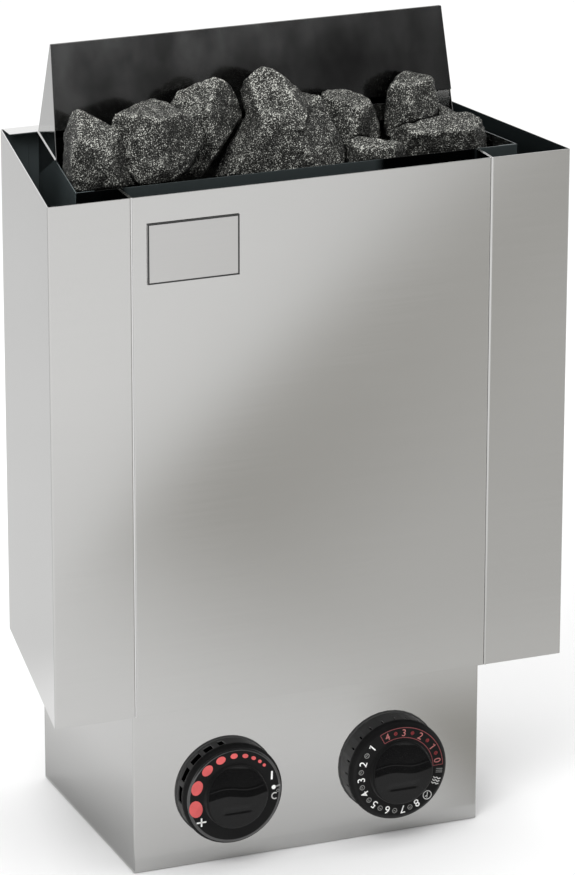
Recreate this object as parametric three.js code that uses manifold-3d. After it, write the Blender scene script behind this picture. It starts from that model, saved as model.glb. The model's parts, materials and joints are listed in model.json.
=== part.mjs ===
// Wall-hung electric sauna heater: a tapered sheet-steel mantle round a casing full of stones,
// over a control box with a thermostat dial, a timer dial and a limiter with a reset button.
// Millimetres, +Z up, front facing -Y. The origin is the middle of the footprint, on the base.

import * as THREE from "three";
import { ConvexGeometry } from "three/addons/geometries/ConvexGeometry.js";
import { mergeVertices } from "three/addons/utils/BufferGeometryUtils.js";
import Module from "manifold-3d";

const wasm = await Module();
wasm.setup();

// Sheet metal
const SHEET = 0.7;
const BEND = 0.3;
const BEND_STEPS = 3;
const FIT = 0.3;

// How far a cutting tool passes the metal, or a joined piece runs into its neighbour
const PASS = 1;

// Facets round circles
const ROUND_SIDES = 24;
const SMALL_SIDES = 16;
const ROD_SIDES = 8;
const CAPILLARY_SIDES = 6;

// Mantle
const BODY_WIDTH = 340;
const BODY_DEPTH = 172;
const SIDE_TAPER = THREE.MathUtils.degToRad(10);
const RIM_HEIGHT = 440;
const SKIRT_HEIGHT = 108;
const FRONT_PANEL_WIDTH = 234;
const REAR_FLANGE = 18;
const AIR_GAP = 21;
const REAR_GAP = 16;
const RIM_SLOT = 2.5;

// Name plate
const PLATE_WIDTH = 59;
const PLATE_HEIGHT = 38;
const PLATE_THICKNESS = 0.6;
const PLATE_INSET = 9.5;
const PLATE_DROP = 17;

// Casing and stone chamber
const CHAMBER_DEPTH = 71.5;
const CASING_FLANGE = 12;
const CASING_LIFT = 16;
const CHAMBER_WALL_RISE = 13.5;

// Guard over the rear duct
const GUARD_SLOT = 4.5;
const GUARD_RISE = 69;
const GUARD_LEAN = THREE.MathUtils.degToRad(13.6);

// Stone grate
const GRATE_LIFT = 28;
const GRATE_THICKNESS = 3;
const GRATE_SLOT = 9.5;
const GRATE_BORDER = 6;
const GRATE_SLOTS_PER_LEG = 3;
const GRATE_CLEARANCE = 2;
const RAIL_LEG = 10;
const RAIL_LENGTH = 220;

// Heating elements
const ELEMENT_COUNT = 3;
const ELEMENT_EDGE = 16;
const ELEMENT_RADIUS = 4;
const ELEMENT_DROP = 36;
const HAIRPIN_STEPS = 8;
const NUT_SIDES = 6;
const COLLAR_RADIUS = 9;
const COLLAR_HEIGHT = 5;
const THREAD_RADIUS = 6.5;
const THREAD_LENGTH = 14;
const NUT_RADIUS = 10.5;
const NUT_HEIGHT = 6;
const PIN_RADIUS = 2.5;
const PIN_LENGTH = 12;
const ELEMENT_PLATE_WIDTH = 50;
const ELEMENT_PLATE_THICKNESS = 2;
const LINK_BAR_WIDTH = 10;
const LINK_BAR_THICKNESS = 2;

// Control box
const BOX_INSET = 0.5;
const BOX_SETBACK = 8;
const BOX_LAP = 4;
const COVER_LIP = 12;
const VENT_COUNT = 6;
const VENT_WIDTH = 5;
const VENT_LENGTH = 44;
const VENT_PITCH = 11;
const VENT_OFFSET = 62;
const VENT_START = 92;

// Dials: centres across the front, height over the base, and how far the faces stand out
const DIAL_HEIGHT = 50;
const THERMOSTAT_X = -56;
const THERMOSTAT_REACH = 17.2;
const TIMER_X = 54;
const TIMER_REACH = 20.8;
const DIAL_RADIUS = 33;
const DIAL_THICKNESS = 6;
const DIAL_ROUND = 4;
const DIAL_ROUND_STEPS = 3;
const DIAL_WALL = 3;
const DIAL_RUN_GAP = 0.5;
const HUB_LENGTH = 8.2;
const GRIP_RADIUS = 20.5;
const GRIP_HEIGHT = 7.2;
const GRIP_BAR = 6;
const GRIP_SHIFT = 2;
const GRIP_ROUND = 2;
const SCOOP_HALF_WIDTH = 13.5;
const SCOOP_HALF_HEIGHT = 7;
const SCOOP_DEPTH = 5;
const DIAL_SEGMENTS = 36;
const BEZEL_LIP = 0.5;
const BEZEL_LIP_HEIGHT = 1.8;
const BEZEL_BORE = 12;
const THERMOSTAT_SLOTS = 14;
const THERMOSTAT_SLOT_WIDTH = 8;
const TIMER_SLOTS = 24;
const TIMER_SLOT_WIDTH = 1.2;
const BEZEL_SLOT_DEPTH = 4;
const BEZEL_SLOT_HEIGHT = 4.2;
const BEZEL_SLOT_MARGIN = 0.6;

// Spindles and the switches behind the dials
const SPINDLE_RADIUS = 3;
const SPINDLE_CLEARANCE = 0.3;
const BUSHING_RADIUS = 5;
const BUSHING_REACH = 3;
const SPINDLE_DEPTH = 12;
const HUB_WALL = 4;
const THERMOSTAT_BODY = 44;
const THERMOSTAT_BODY_DEPTH = 32;
const TIMER_BODY = 50;
const TIMER_BODY_DEPTH = 36;
const TAB_WIDTH = 6.3;
const TAB_LENGTH = 8;
const TAB_THICKNESS = 0.8;

// Limiter and its reset button
const LIMITER_X = -70;
const LIMITER_Y = 128;
const LIMITER_SIZE = 30;
const LIMITER_HEIGHT = 26;
const LIMITER_FOOT = 5;
const LIMITER_FOOT_WIDTH = 4;
const RESET_RADIUS = 4.5;
const RESET_CAP = 2.6;
const RESET_STEM_RADIUS = 3;
const RESET_STEM = 12;
const RESET_RECESS = 0.6;
const RESET_TRAVEL = 2.5;
const RESET_HOLE_RADIUS = 7;

// Terminal block and supply gland
const TERMINAL_X = 64;
const TERMINAL_LENGTH = 62;
const TERMINAL_DEPTH = 22;
const TERMINAL_HEIGHT = 24;
const TERMINAL_GAP = 22;
const TERMINAL_WAYS = 5;
const TERMINAL_BORE = 3;
const GLAND_X = 64;
const GLAND_HEIGHT = 62;
const GLAND_BORE = 6.5;
const GLAND_THREAD = 10;
const GLAND_DOME = 11;
const GLAND_NUT = 13.5;
const GLAND_NUT_THICKNESS = 5;
const GLAND_WALL_GAP = 6.7;

// Thermostat bulb
const BULB_X = -56;
const BULB_RADIUS = 3;
const BULB_LENGTH = 80;
const BULB_DROP = 40;
const CAPILLARY_RADIUS = 1;
const CAPILLARY_BEND = 14;
const CAPILLARY_STEPS = 36;
const GROMMET_CLEARANCE = 1.5;
const CLIP_HEIGHT = 14;
const CLIP_WING = 9;

// Leads inside the box: how far they run straight, how far they drop, and the length of a facet
const LEAD_RADIUS = 1.6;
const LEAD_RUN = 12;
const LEAD_DROP = 6;
const LEAD_FACET = 10;

// Wall fixing
const WALL_GAP = 27;
const RACK_TOP = 372;
const RACK_HEIGHT = 44;
const RACK_WIDTH = 230;
const HOOK_SPREAD = 92;
const HOOK_WIDTH = 24;
const HOOK_REACH = 6;
const HOOK_RISE = 9;
const HOOK_CLEARANCE = 1;
const KEYHOLE_SPREAD = 60;
const KEYHOLE_RADIUS = 5;
const KEYHOLE_SLOT = 2.6;
const KEYHOLE_RISE = 10;
const SPACER_TOP = 36;
const SPACER_HEIGHT = 30;
const SPACER_WIDTH = 150;

// Stones, each hewn out of one or two lumps. A lump's place is x as a share of the chamber's half width,
// y as a share of its depth and z from the rim. Its outline runs clockwise round that place, as seen from
// the front corner, and its facets face that corner (direction and slope in degrees, distance).
const OUTLINE_TURN = THREE.MathUtils.degToRad(22);
const OUTLINE_PITCH = THREE.MathUtils.degToRad(19);
const STONE_GAP = 0.4;
const STONE_CLEARANCE = 0.6;
const BACK_DIRECTIONS = [30, 150, 270];
const BACK_SLOPE = 125;
const STRAIGHT_BACK = 180;
const PLANE_TOLERANCE = 1e-6;
const STONES = [
  [
    { at: [0.06, 0.4, 8], far: 30,
      outline: [[-51, -22], [-29, 19], [-20, 31], [3, 32], [16, 29], [31, -5], [31, -19]],
      facets: [[155, 50, 29], [-90, 12, 17.6], [20, 40, 15.6], [85, 55, 24]] },
    { at: [0.02, 0.52, 22], far: 24,
      outline: [[-28, 19], [-12, 31], [-3, 28], [11, 18], [18, 8], [14, -9], [-19, -9], [-23, 5]],
      facets: [[180, 50, 21], [90, 20, 16.6], [45, 55, 19]] },
  ],
  [
    { at: [-0.58, 0.36, 17], far: 22,
      outline: [
        [-33, 18], [-31, 22], [-5, 28], [2, 26], [24, 13], [27, 6],
        [26, 0], [17, -16], [8, -23], [-12, -26],
        [-26, -10],
      ],
      facets: [[190, 25, 17.6], [-10, 35, 16.8], [95, 62, 21.5], [-80, 40, 23.7]] },
  ],
  [
    { at: [-0.84, 0.48, 15], far: 24,
      outline: [[-27, -4], [-24, 7], [-17, 22], [-14, 24], [17, 9], [21, -22], [-17, -27], [-21, -19]],
      facets: [[165, 60, 22], [60, 35, 16], [-100, 20, 19.5], [10, 55, 16]] },
  ],
  [
    { at: [0.75, 0.38, 1], far: 22,
      outline: [
        [-32, 1], [-27, 6], [7, 16], [20, 17], [27, 14], [30, 10],
        [30, -6], [20, -15], [-24, -20], [-30, -11],
      ],
      facets: [[90, 50, 11.3], [-80, 30, 10.8], [170, 50, 23], [0, 60, 24.8]] },
  ],
  [
    { at: [0.4, 0.22, -1], far: 18,
      outline: [[-21, 5], [-11, 11], [16, 7], [19, 2], [20, -4], [16, -12], [-20, -14]],
      facets: [[90, 45, 9.9], [-90, 15, 9.9], [180, 55, 15.7], [0, 55, 14.9]] },
  ],
  [
    { at: [-0.33, 0.64, 19], far: 22,
      outline: [
        [-21, 13], [-16, 21], [-6, 25], [7, 30], [14, 27], [23, 17],
        [25, 8], [-2, -32], [-12, -33], [-20, -9],
      ],
      facets: [[120, 40, 19.5], [10, 45, 16.8], [220, 25, 17.3]] },
  ],
  [
    { at: [0.39, 0.66, 13], far: 20,
      outline: [
        [-18, 16], [-13, 18], [-3, 18], [7, 16], [12, 13], [16, 5],
        [19, -5], [19, -11], [16, -16], [-12, -19],
        [-19, -1],
      ],
      facets: [[80, 50, 15.2], [190, 20, 14.1], [-10, 45, 14.8]] },
  ],
  [
    { at: [0.71, 0.72, 16], far: 18,
      outline: [
        [-17, -13], [-16, 0], [-14, 10], [-9, 18], [-4, 22], [12, 19],
        [17, 5], [16, -12], [0, -21], [-15, -20],
      ],
      facets: [[180, 40, 14.7], [0, 35, 13.4], [90, 60, 18], [-90, 35, 17.2]] },
  ],
  [
    { at: [-0.66, 0.86, -6], far: 14,
      outline: [[-26, -2], [-18, 12], [0, 18], [18, 12], [26, -4], [14, -19], [-14, -19]],
      facets: [[100, 45, 16], [-80, 30, 15], [0, 50, 22]] },
  ],
  [
    { at: [0.1, 0.86, -2], far: 14,
      outline: [[-26, 2], [-16, 16], [4, 20], [20, 10], [25, -8], [8, -20], [-16, -18]],
      facets: [[80, 45, 16], [-100, 30, 15], [180, 50, 22]] },
  ],
  [
    { at: [0.86, 0.8, -4], far: 14,
      outline: [[-22, 0], [-14, 14], [2, 18], [16, 10], [20, -4], [10, -19], [-12, -18]],
      facets: [[95, 45, 15], [-85, 30, 14], [10, 50, 18]] },
  ],
  [
    { at: [-0.28, 0.24, -34], far: 16,
      outline: [[-22, 0], [-14, 14], [2, 18], [16, 12], [22, -2], [12, -16], [-12, -16]],
      facets: [[90, 45, 14], [-90, 30, 13], [180, 50, 18]] },
  ],
];

// Lower stones, fused where they press together
const BED_COLUMNS = 4;
const BED_ROWS = 4;
const BED_TOP_DROP = 28;
const BED_OVERLAP = 1.3;
const BED_GAP = 1;
const BED_SEAT = 1;

// Levels worked out from the sizes above, with the front panel's face at y = 0
const mantleHalf = (y) => BODY_WIDTH / 2 - y * Math.tan(SIDE_TAPER);
const casingHalf = (y) => mantleHalf(y) - (SHEET + AIR_GAP) / Math.cos(SIDE_TAPER);
const chamberHalf = (y) => casingHalf(y) - SHEET / Math.cos(SIDE_TAPER);
const casingFront = SHEET + AIR_GAP;
const chamberFront = casingFront + SHEET;
const chamberBack = chamberFront + CHAMBER_DEPTH;
const chamberMiddle = (chamberFront + chamberBack) / 2;
const ductFront = chamberBack + SHEET;
const casingBack = BODY_DEPTH - REAR_GAP;
const ductBack = casingBack - SHEET;
const panelFront = BODY_DEPTH + FIT;
const panelRear = panelFront + SHEET;
const wallFace = panelRear + WALL_GAP;
const boxHalf = FRONT_PANEL_WIDTH / 2 - BOX_INSET;
const boxInside = BOX_SETBACK + SHEET + FIT;
const boxHeight = SKIRT_HEIGHT + BOX_LAP;
const deck = boxHeight + FIT;
const grateBottom = boxHeight + GRATE_LIFT;
const grateTop = grateBottom + GRATE_THICKNESS;
const legPitch = (2 * (boxHalf - ELEMENT_EDGE)) / (2 * ELEMENT_COUNT - 1);
const dialFront = BOX_SETBACK - Math.max(THERMOSTAT_REACH, TIMER_REACH) - GRIP_HEIGHT;

// Solids: closed geometries joined and cut
function solidOf(geometry) {
  const bare = geometry.clone();
  bare.deleteAttribute("normal");
  bare.deleteAttribute("uv");
  const merged = mergeVertices(bare, 1e-4);
  const vertProperties = new Float32Array(merged.attributes.position.array);
  const triVerts = new Uint32Array(merged.index.array);
  return new wasm.Manifold(new wasm.Mesh({ numProp: 3, vertProperties, triVerts }));
}

function geometryOf(solid) {
  const mesh = solid.getMesh();
  const geometry = new THREE.BufferGeometry();
  geometry.setAttribute("position", new THREE.BufferAttribute(mesh.vertProperties, 3));
  geometry.setIndex(new THREE.BufferAttribute(mesh.triVerts, 1));
  return geometry;
}

function cut(base, ...tools) {
  return geometryOf(tools.reduce((solid, tool) => solid.subtract(solidOf(tool)), solidOf(base)));
}

function join(base, ...others) {
  return geometryOf(others.reduce((solid, other) => solid.add(solidOf(other)), solidOf(base)));
}

function common(first, second) {
  return geometryOf(solidOf(first).intersect(solidOf(second)));
}

function mirrored(geometry) {
  const copy = geometry.index ? geometry.toNonIndexed() : geometry.clone();
  const source = copy.attributes.position.clone();
  for (let i = 0; i < source.count; i += 1) {
    const from = i % 3 === 0 ? i : i % 3 === 1 ? i + 1 : i - 1;
    copy.attributes.position.setXYZ(i, -source.getX(from), source.getY(from), source.getZ(from));
  }
  return copy;
}

// Primitives placed by their limits
function block([x0, x1], [y0, y1], [z0, z1]) {
  const geometry = new THREE.BoxGeometry(x1 - x0, y1 - y0, z1 - z0);
  return geometry.translate((x0 + x1) / 2, (y0 + y1) / 2, (z0 + z1) / 2);
}

function upright(x, y, [z0, z1], radius, sides = ROUND_SIDES) {
  const geometry = new THREE.CylinderGeometry(radius, radius, z1 - z0, sides);
  return geometry.rotateX(Math.PI / 2).translate(x, y, (z0 + z1) / 2);
}

function forward(x, [y0, y1], z, radius, sides = ROUND_SIDES) {
  const geometry = new THREE.CylinderGeometry(radius, radius, y1 - y0, sides);
  return geometry.translate(x, (y0 + y1) / 2, z);
}

// Extrudes a shape drawn in (y, z), (z, x) or (x, y) along the remaining axis
const alongX = new THREE.Vector3(1, 0, 0);
const alongY = new THREE.Vector3(0, 1, 0);
const alongZ = new THREE.Vector3(0, 0, 1);
const EXTRUSION_AXES = {
  x: [alongY, alongZ, alongX],
  y: [alongZ, alongX, alongY],
  z: [alongX, alongY, alongZ],
};

function extruded(axis, shape, from, to) {
  const geometry = new THREE.ExtrudeGeometry(shape, { depth: to - from, bevelEnabled: false });
  const place = new THREE.Matrix4().makeBasis(...EXTRUSION_AXES[axis]);
  return geometry.translate(0, 0, from).applyMatrix4(place);
}

// Outline of a bent sheet: the face runs through the points, the metal lies on its right
function bentSheet(points) {
  const face = points.map(([u, v]) => new THREE.Vector2(u, v));
  const runs = face.slice(1).map((point, i) => point.clone().sub(face[i]).normalize());
  const rightOf = (run) => new THREE.Vector2(run.y, -run.x);
  const side = (offset) => {
    const last = runs.length - 1;
    const line = [face[0].clone().addScaledVector(rightOf(runs[0]), offset)];
    for (let i = 1; i <= last; i += 1) {
      const before = runs[i - 1];
      const after = runs[i];
      const right = before.cross(after) < 0;
      const radius = right ? BEND + SHEET - offset : BEND + offset;
      const angle = Math.acos(before.dot(after));
      const miter = rightOf(before).add(rightOf(after)).multiplyScalar(offset / (1 + before.dot(after)));
      const start = face[i].clone().add(miter).addScaledVector(before, -radius * Math.tan(angle / 2));
      const centre = start.clone().addScaledVector(rightOf(before), right ? radius : -radius);
      for (let k = 0; k <= BEND_STEPS; k += 1) {
        const turn = (right ? -angle : angle) * k / BEND_STEPS;
        line.push(start.clone().rotateAround(centre, turn));
      }
    }
    line.push(face[last + 1].clone().addScaledVector(rightOf(runs[last]), offset));
    return line;
  };
  return new THREE.Shape([...side(0), ...side(SHEET).reverse()]);
}

function polygon(points) {
  return new THREE.Shape(points.map(([u, v]) => new THREE.Vector2(u, v)));
}

function turned(profile, segments) {
  return new THREE.LatheGeometry(profile.map(([r, y]) => new THREE.Vector2(r, y)), segments);
}

// A path that gives back exactly the stations it is made from
class StationPath extends THREE.Curve {
  constructor(stations) {
    super();
    this.stations = stations;
  }

  getPoint(t, target = new THREE.Vector3()) {
    const place = t * (this.stations.length - 1);
    const index = Math.min(Math.floor(place), this.stations.length - 2);
    return target.lerpVectors(this.stations[index], this.stations[index + 1], place - index);
  }

  getPointAt(u, target) {
    return this.getPoint(u, target);
  }

  getTangentAt(u, target = new THREE.Vector3()) {
    const step = 0.5 / (this.stations.length - 1);
    const ahead = this.getPoint(Math.min(u + step, 1));
    return target.copy(ahead).sub(this.getPoint(Math.max(u - step, 0))).normalize();
  }
}

function rod(path, steps, radius, sides) {
  const section = new THREE.Shape();
  for (let i = 0; i < sides; i += 1) {
    const angle = (2 * Math.PI * i) / sides;
    const point = [radius * Math.cos(angle), radius * Math.sin(angle)];
    if (i === 0) section.moveTo(...point);
    else section.lineTo(...point);
  }
  section.closePath();
  return new THREE.ExtrudeGeometry(section, { steps, extrudePath: path, bevelEnabled: false });
}

// Finishes
const finish = (color, roughness, metalness) => () =>
  new THREE.MeshStandardMaterial({ color, roughness, metalness });
const brushedSteel = finish(0xc4c3c1, 0.35, 1);
const polishedSteel = finish(0x3a4144, 0.12, 1);
const galvanised = finish(0xa8aaac, 0.5, 1);
const blackPlastic = finish(0x161616, 0.4, 0);
const ceramicWhite = finish(0xe4e0d6, 0.6, 0);
const copper = finish(0xb87348, 0.35, 1);
const elementSteel = finish(0x4c4a48, 0.5, 1);
const rock = finish(0x3b3a37, 0.9, 0);
const redPlastic = finish(0xb02020, 0.4, 0);
const leadSleeve = finish(0x7c3f2a, 0.8, 0);

const group = new THREE.Group();
const heater = new THREE.Group();
heater.position.y = -(dialFront + wallFace) / 2;
group.add(heater);

function part(name, geometry, material, position = [0, 0, 0]) {
  const mesh = new THREE.Mesh(geometry, material());
  mesh.name = name;
  mesh.position.set(...position);
  heater.add(mesh);
}

// Mantle: front channel, two bent sides and a back panel
function frontPanel() {
  const half = FRONT_PANEL_WIDTH / 2;
  const reach = casingFront - FIT;
  const profile = bentSheet([[half, reach], [half, 0], [-half, 0], [-half, reach]]);
  const sheet = extruded("z", profile, SKIRT_HEIGHT, RIM_HEIGHT);
  const notchDepth = [BOX_SETBACK - PASS, casingFront];
  const notch = block([-half - PASS, half + PASS], notchDepth, [SKIRT_HEIGHT - PASS, deck]);
  return cut(sheet, notch);
}

const backHalf = mantleHalf(BODY_DEPTH) - SHEET - BEND - FIT;

function leftSidePanel() {
  const seam = -FRONT_PANEL_WIDTH / 2 - FIT;
  const rear = -mantleHalf(BODY_DEPTH);
  const profile = bentSheet([
    [seam, casingFront - FIT],
    [seam, 0],
    [-mantleHalf(0), 0],
    [rear, BODY_DEPTH],
    [rear + REAR_FLANGE, BODY_DEPTH],
  ]);
  const sheet = extruded("z", profile, SKIRT_HEIGHT, RIM_HEIGHT);
  const lowered = RIM_HEIGHT - SHEET - BEND - FIT;
  const notch = block([-backHalf - FIT, 0], [casingBack, panelRear], [lowered, RIM_HEIGHT + PASS]);
  return cut(sheet, notch);
}

function backPanel() {
  const profile = bentSheet([[casingBack + RIM_SLOT, RIM_HEIGHT], [panelRear, RIM_HEIGHT], [panelRear, 0]]);
  const sheet = extruded("x", profile, -backHalf, backHalf);
  const through = [panelFront - PASS, panelRear + PASS];
  const tools = [];
  for (const side of [-1, 1]) {
    const outer = [side * boxHalf, side * (backHalf + PASS)].sort((a, b) => a - b);
    tools.push(block(outer, through, [-PASS, SKIRT_HEIGHT]));
    const hookHalf = HOOK_WIDTH / 2 + HOOK_CLEARANCE;
    const hook = [side * HOOK_SPREAD - hookHalf, side * HOOK_SPREAD + hookHalf];
    const hookRise = [RACK_TOP - SHEET - HOOK_CLEARANCE, RACK_TOP + HOOK_RISE + HOOK_CLEARANCE];
    tools.push(block(hook, through, hookRise));
  }
  tools.push(forward(GLAND_X, through, GLAND_HEIGHT, GLAND_THREAD + FIT));
  return cut(sheet, ...tools);
}

part("front_panel", frontPanel(), brushedSteel);
part("side_panel_left", leftSidePanel(), brushedSteel);
part("side_panel_right", mirrored(leftSidePanel()), brushedSteel);
part("back_panel", backPanel(), brushedSteel);

const plateLeft = -FRONT_PANEL_WIDTH / 2 + PLATE_INSET;
const plateTop = RIM_HEIGHT - PLATE_DROP;
part(
  "name_plate",
  block(
    [plateLeft, plateLeft + PLATE_WIDTH],
    [-FIT - PLATE_THICKNESS, -FIT],
    [plateTop - PLATE_HEIGHT, plateTop],
  ),
  brushedSteel,
);

// Casing: flat front and rear walls, flanged sides, and the wall behind the stones
const wallRise = [deck, RIM_HEIGHT];

function leftCasingWall() {
  const front = chamberFront + FIT;
  const rear = ductBack - FIT;
  const profile = bentSheet([
    [-casingHalf(front) + CASING_FLANGE, front],
    [-casingHalf(front), front],
    [-casingHalf(rear), rear],
    [-casingHalf(rear) + CASING_FLANGE, rear],
  ]);
  return extruded("z", profile, boxHeight + CASING_LIFT, RIM_HEIGHT);
}

function flatWall(half, front, [bottom, top]) {
  return block([-half, half], [front, front + SHEET], [bottom, top]);
}

const chamberWallTop = RIM_HEIGHT + CHAMBER_WALL_RISE;
part("casing_front_wall", flatWall(casingHalf(chamberFront), casingFront, wallRise), polishedSteel);
part("casing_left_wall", leftCasingWall(), polishedSteel);
part("casing_right_wall", mirrored(leftCasingWall()), polishedSteel);
part("casing_rear_wall", flatWall(casingHalf(casingBack), ductBack, wallRise), polishedSteel);
const chamberWallHalf = chamberHalf(ductFront) - FIT;
part("chamber_rear_wall", flatWall(chamberWallHalf, chamberBack, [deck, chamberWallTop]), polishedSteel);

// Guard: a leaning front plate, a sloped back plate and two end plates on the casing walls
const guardFoot = new THREE.Vector2(chamberBack, chamberWallTop + GUARD_SLOT);
const guardTop = RIM_HEIGHT + GUARD_RISE;
const frontRun = new THREE.Vector2(Math.sin(GUARD_LEAN), Math.cos(GUARD_LEAN));
const guardApex = guardFoot.clone().addScaledVector(frontRun, (guardTop - guardFoot.y) / frontRun.y);
const backStart = new THREE.Vector2(guardApex.x + (SHEET + FIT) / frontRun.y + SHEET, guardTop);
const backEnd = new THREE.Vector2(casingBack, RIM_HEIGHT + SHEET);
const backRun = backEnd.clone().sub(backStart).normalize();

// A plate that runs from a start in the (y, z) plane, its face on the line and its metal inside
function slopedPlate(start, run, length) {
  const outline = polygon([
    [-casingHalf(start.x), 0],
    [casingHalf(start.x), 0],
    [casingHalf(start.x + run.x * length), length],
    [-casingHalf(start.x + run.x * length), length],
  ]);
  const geometry = new THREE.ExtrudeGeometry(outline, { depth: SHEET, bevelEnabled: false });
  const place = new THREE.Matrix4().makeBasis(
    new THREE.Vector3(1, 0, 0),
    new THREE.Vector3(0, run.x, run.y),
    new THREE.Vector3(0, -run.y, run.x),
  );
  return geometry.translate(0, 0, -SHEET).applyMatrix4(place).translate(0, start.x, start.y);
}

function leftGuardEnd() {
  const inset = SHEET + FIT;
  const frontLine = guardFoot.clone().add(new THREE.Vector2(frontRun.y, -frontRun.x).multiplyScalar(inset));
  const backLine = backStart.clone().add(new THREE.Vector2(backRun.y, -backRun.x).multiplyScalar(inset));
  const bottom = RIM_HEIGHT + FIT;
  const onFront = (z) => frontLine.x + (z - frontLine.y) * frontRun.x / frontRun.y;
  const onBack = (z) => backLine.x + (z - backLine.y) * backRun.x / backRun.y;
  const gap = onBack(bottom) - onFront(bottom);
  const closing = frontRun.x / frontRun.y - backRun.x / backRun.y;
  const peak = bottom + gap / closing;
  const along = ([y, z]) => [y / Math.cos(SIDE_TAPER), z];
  const corners = [[onFront(bottom), bottom], [onBack(bottom), bottom], [onFront(peak), peak]];
  const geometry = new THREE.ExtrudeGeometry(polygon(corners.map(along)), {
    depth: SHEET,
    bevelEnabled: false,
  });
  const place = new THREE.Matrix4().makeBasis(
    new THREE.Vector3(Math.sin(SIDE_TAPER), Math.cos(SIDE_TAPER), 0),
    new THREE.Vector3(0, 0, 1),
    new THREE.Vector3(Math.cos(SIDE_TAPER), -Math.sin(SIDE_TAPER), 0),
  );
  return geometry.applyMatrix4(place).translate(-casingHalf(0), 0, 0);
}

const frontLength = guardApex.distanceTo(guardFoot);
part("guard_front_plate", slopedPlate(guardFoot, frontRun, frontLength), polishedSteel);
part("guard_back_plate", slopedPlate(backStart, backRun, backEnd.distanceTo(backStart)), polishedSteel);
part("guard_end_left", leftGuardEnd(), brushedSteel);
part("guard_end_right", mirrored(leftGuardEnd()), brushedSteel);

// Grate: a slotted plate on two angle rails, with a slot for every element leg
const railTop = grateBottom - FIT;
const railSpan = [-RAIL_LENGTH / 2, RAIL_LENGTH / 2];

function rail(wall, inward) {
  const near = wall + inward * FIT;
  const leg = [near, near + inward * SHEET].sort((a, b) => a - b);
  const shelf = [near, near + inward * RAIL_LEG].sort((a, b) => a - b);
  const upright = block(railSpan, leg, [railTop - RAIL_LEG, railTop]);
  return join(upright, block(railSpan, shelf, [railTop - SHEET, railTop]));
}

function grate() {
  const front = chamberFront + GRATE_CLEARANCE;
  const back = chamberBack - GRATE_CLEARANCE;
  const half = chamberHalf(chamberBack) - GRATE_CLEARANCE;
  const rise = [grateBottom, grateTop];
  const pitch = legPitch / GRATE_SLOTS_PER_LEG;
  const slots = [];
  for (let x = pitch / 2; x + GRATE_SLOT / 2 + GRATE_BORDER < half; x += pitch) {
    for (const side of [-1, 1]) {
      const span = [side * x - GRATE_SLOT / 2, side * x + GRATE_SLOT / 2];
      const deep = [front + GRATE_BORDER, back - GRATE_BORDER];
      slots.push(block(span, deep, [rise[0] - PASS, rise[1] + PASS]));
    }
  }
  return cut(block([-half, half], [front, back], rise), ...slots);
}

part("grate_rail_front", rail(chamberFront, 1), galvanised);
part("grate_rail_rear", rail(chamberBack, -1), galvanised);
part("stone_grate", grate(), galvanised);

// Heating elements: hairpins that stand on a plate, with nuts and pins below it
const plateRise = [deck, deck + ELEMENT_PLATE_THICKNESS];
const threadBottom = deck - THREAD_LENGTH;
const pinBottom = threadBottom - PIN_LENGTH;
const elementX = (i) => (i - (ELEMENT_COUNT - 1) / 2) * 2 * legPitch;

function hairpin(x) {
  const bend = legPitch / 2;
  const top = RIM_HEIGHT - ELEMENT_DROP - bend;
  const stations = [new THREE.Vector3(x - bend, chamberMiddle, threadBottom)];
  for (let i = 0; i <= HAIRPIN_STEPS; i += 1) {
    const angle = Math.PI * (1 - i / HAIRPIN_STEPS);
    stations.push(new THREE.Vector3(x + bend * Math.cos(angle), chamberMiddle, top + bend * Math.sin(angle)));
  }
  stations.push(new THREE.Vector3(x + bend, chamberMiddle, threadBottom));
  return rod(new StationPath(stations), stations.length - 1, ELEMENT_RADIUS, ROD_SIDES);
}

function element(x) {
  const collar = [plateRise[1] + FIT, plateRise[1] + FIT + COLLAR_HEIGHT];
  const fittings = [];
  for (const legX of [x - legPitch / 2, x + legPitch / 2]) {
    fittings.push(upright(legX, chamberMiddle, collar, COLLAR_RADIUS, ROD_SIDES));
    fittings.push(upright(legX, chamberMiddle, [threadBottom, collar[0] + PASS], THREAD_RADIUS, ROD_SIDES));
    fittings.push(upright(legX, chamberMiddle, [deck - FIT - NUT_HEIGHT, deck - FIT], NUT_RADIUS, NUT_SIDES));
    fittings.push(upright(legX, chamberMiddle, [pinBottom, threadBottom + PASS], PIN_RADIUS, ROD_SIDES));
  }
  return join(hairpin(x), ...fittings);
}

const legXs = [];
for (let i = 0; i < ELEMENT_COUNT; i += 1) {
  legXs.push(elementX(i) - legPitch / 2, elementX(i) + legPitch / 2);
  part(`heating_element_${i + 1}`, element(elementX(i)), elementSteel);
}
const elementSpan = legXs[legXs.length - 1] + COLLAR_RADIUS;
const acrossPlate = (width) => [chamberMiddle - width / 2, chamberMiddle + width / 2];
const holeRise = [plateRise[0] - PASS, plateRise[1] + PASS];
const legHoles = legXs.map((x) => upright(x, chamberMiddle, holeRise, THREAD_RADIUS + FIT, ROD_SIDES));
const elementPlate = block([-elementSpan, elementSpan], acrossPlate(ELEMENT_PLATE_WIDTH), plateRise);
part("element_plate", cut(elementPlate, ...legHoles), galvanised);
const linkTop = pinBottom - FIT;
const linkBar = block(
  [legXs[0] - PIN_RADIUS, -legXs[0] + PIN_RADIUS],
  acrossPlate(LINK_BAR_WIDTH),
  [linkTop - LINK_BAR_THICKNESS, linkTop],
);
part("element_link_bar", linkBar, copper);

// Stones
const viewRight = new THREE.Vector3(Math.cos(OUTLINE_TURN), -Math.sin(OUTLINE_TURN), 0);
const viewTowards = new THREE.Vector3(
  -Math.sin(OUTLINE_TURN) * Math.cos(OUTLINE_PITCH),
  -Math.cos(OUTLINE_TURN) * Math.cos(OUTLINE_PITCH),
  Math.sin(OUTLINE_PITCH),
);
const viewUp = new THREE.Vector3().crossVectors(viewTowards, viewRight);

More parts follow.
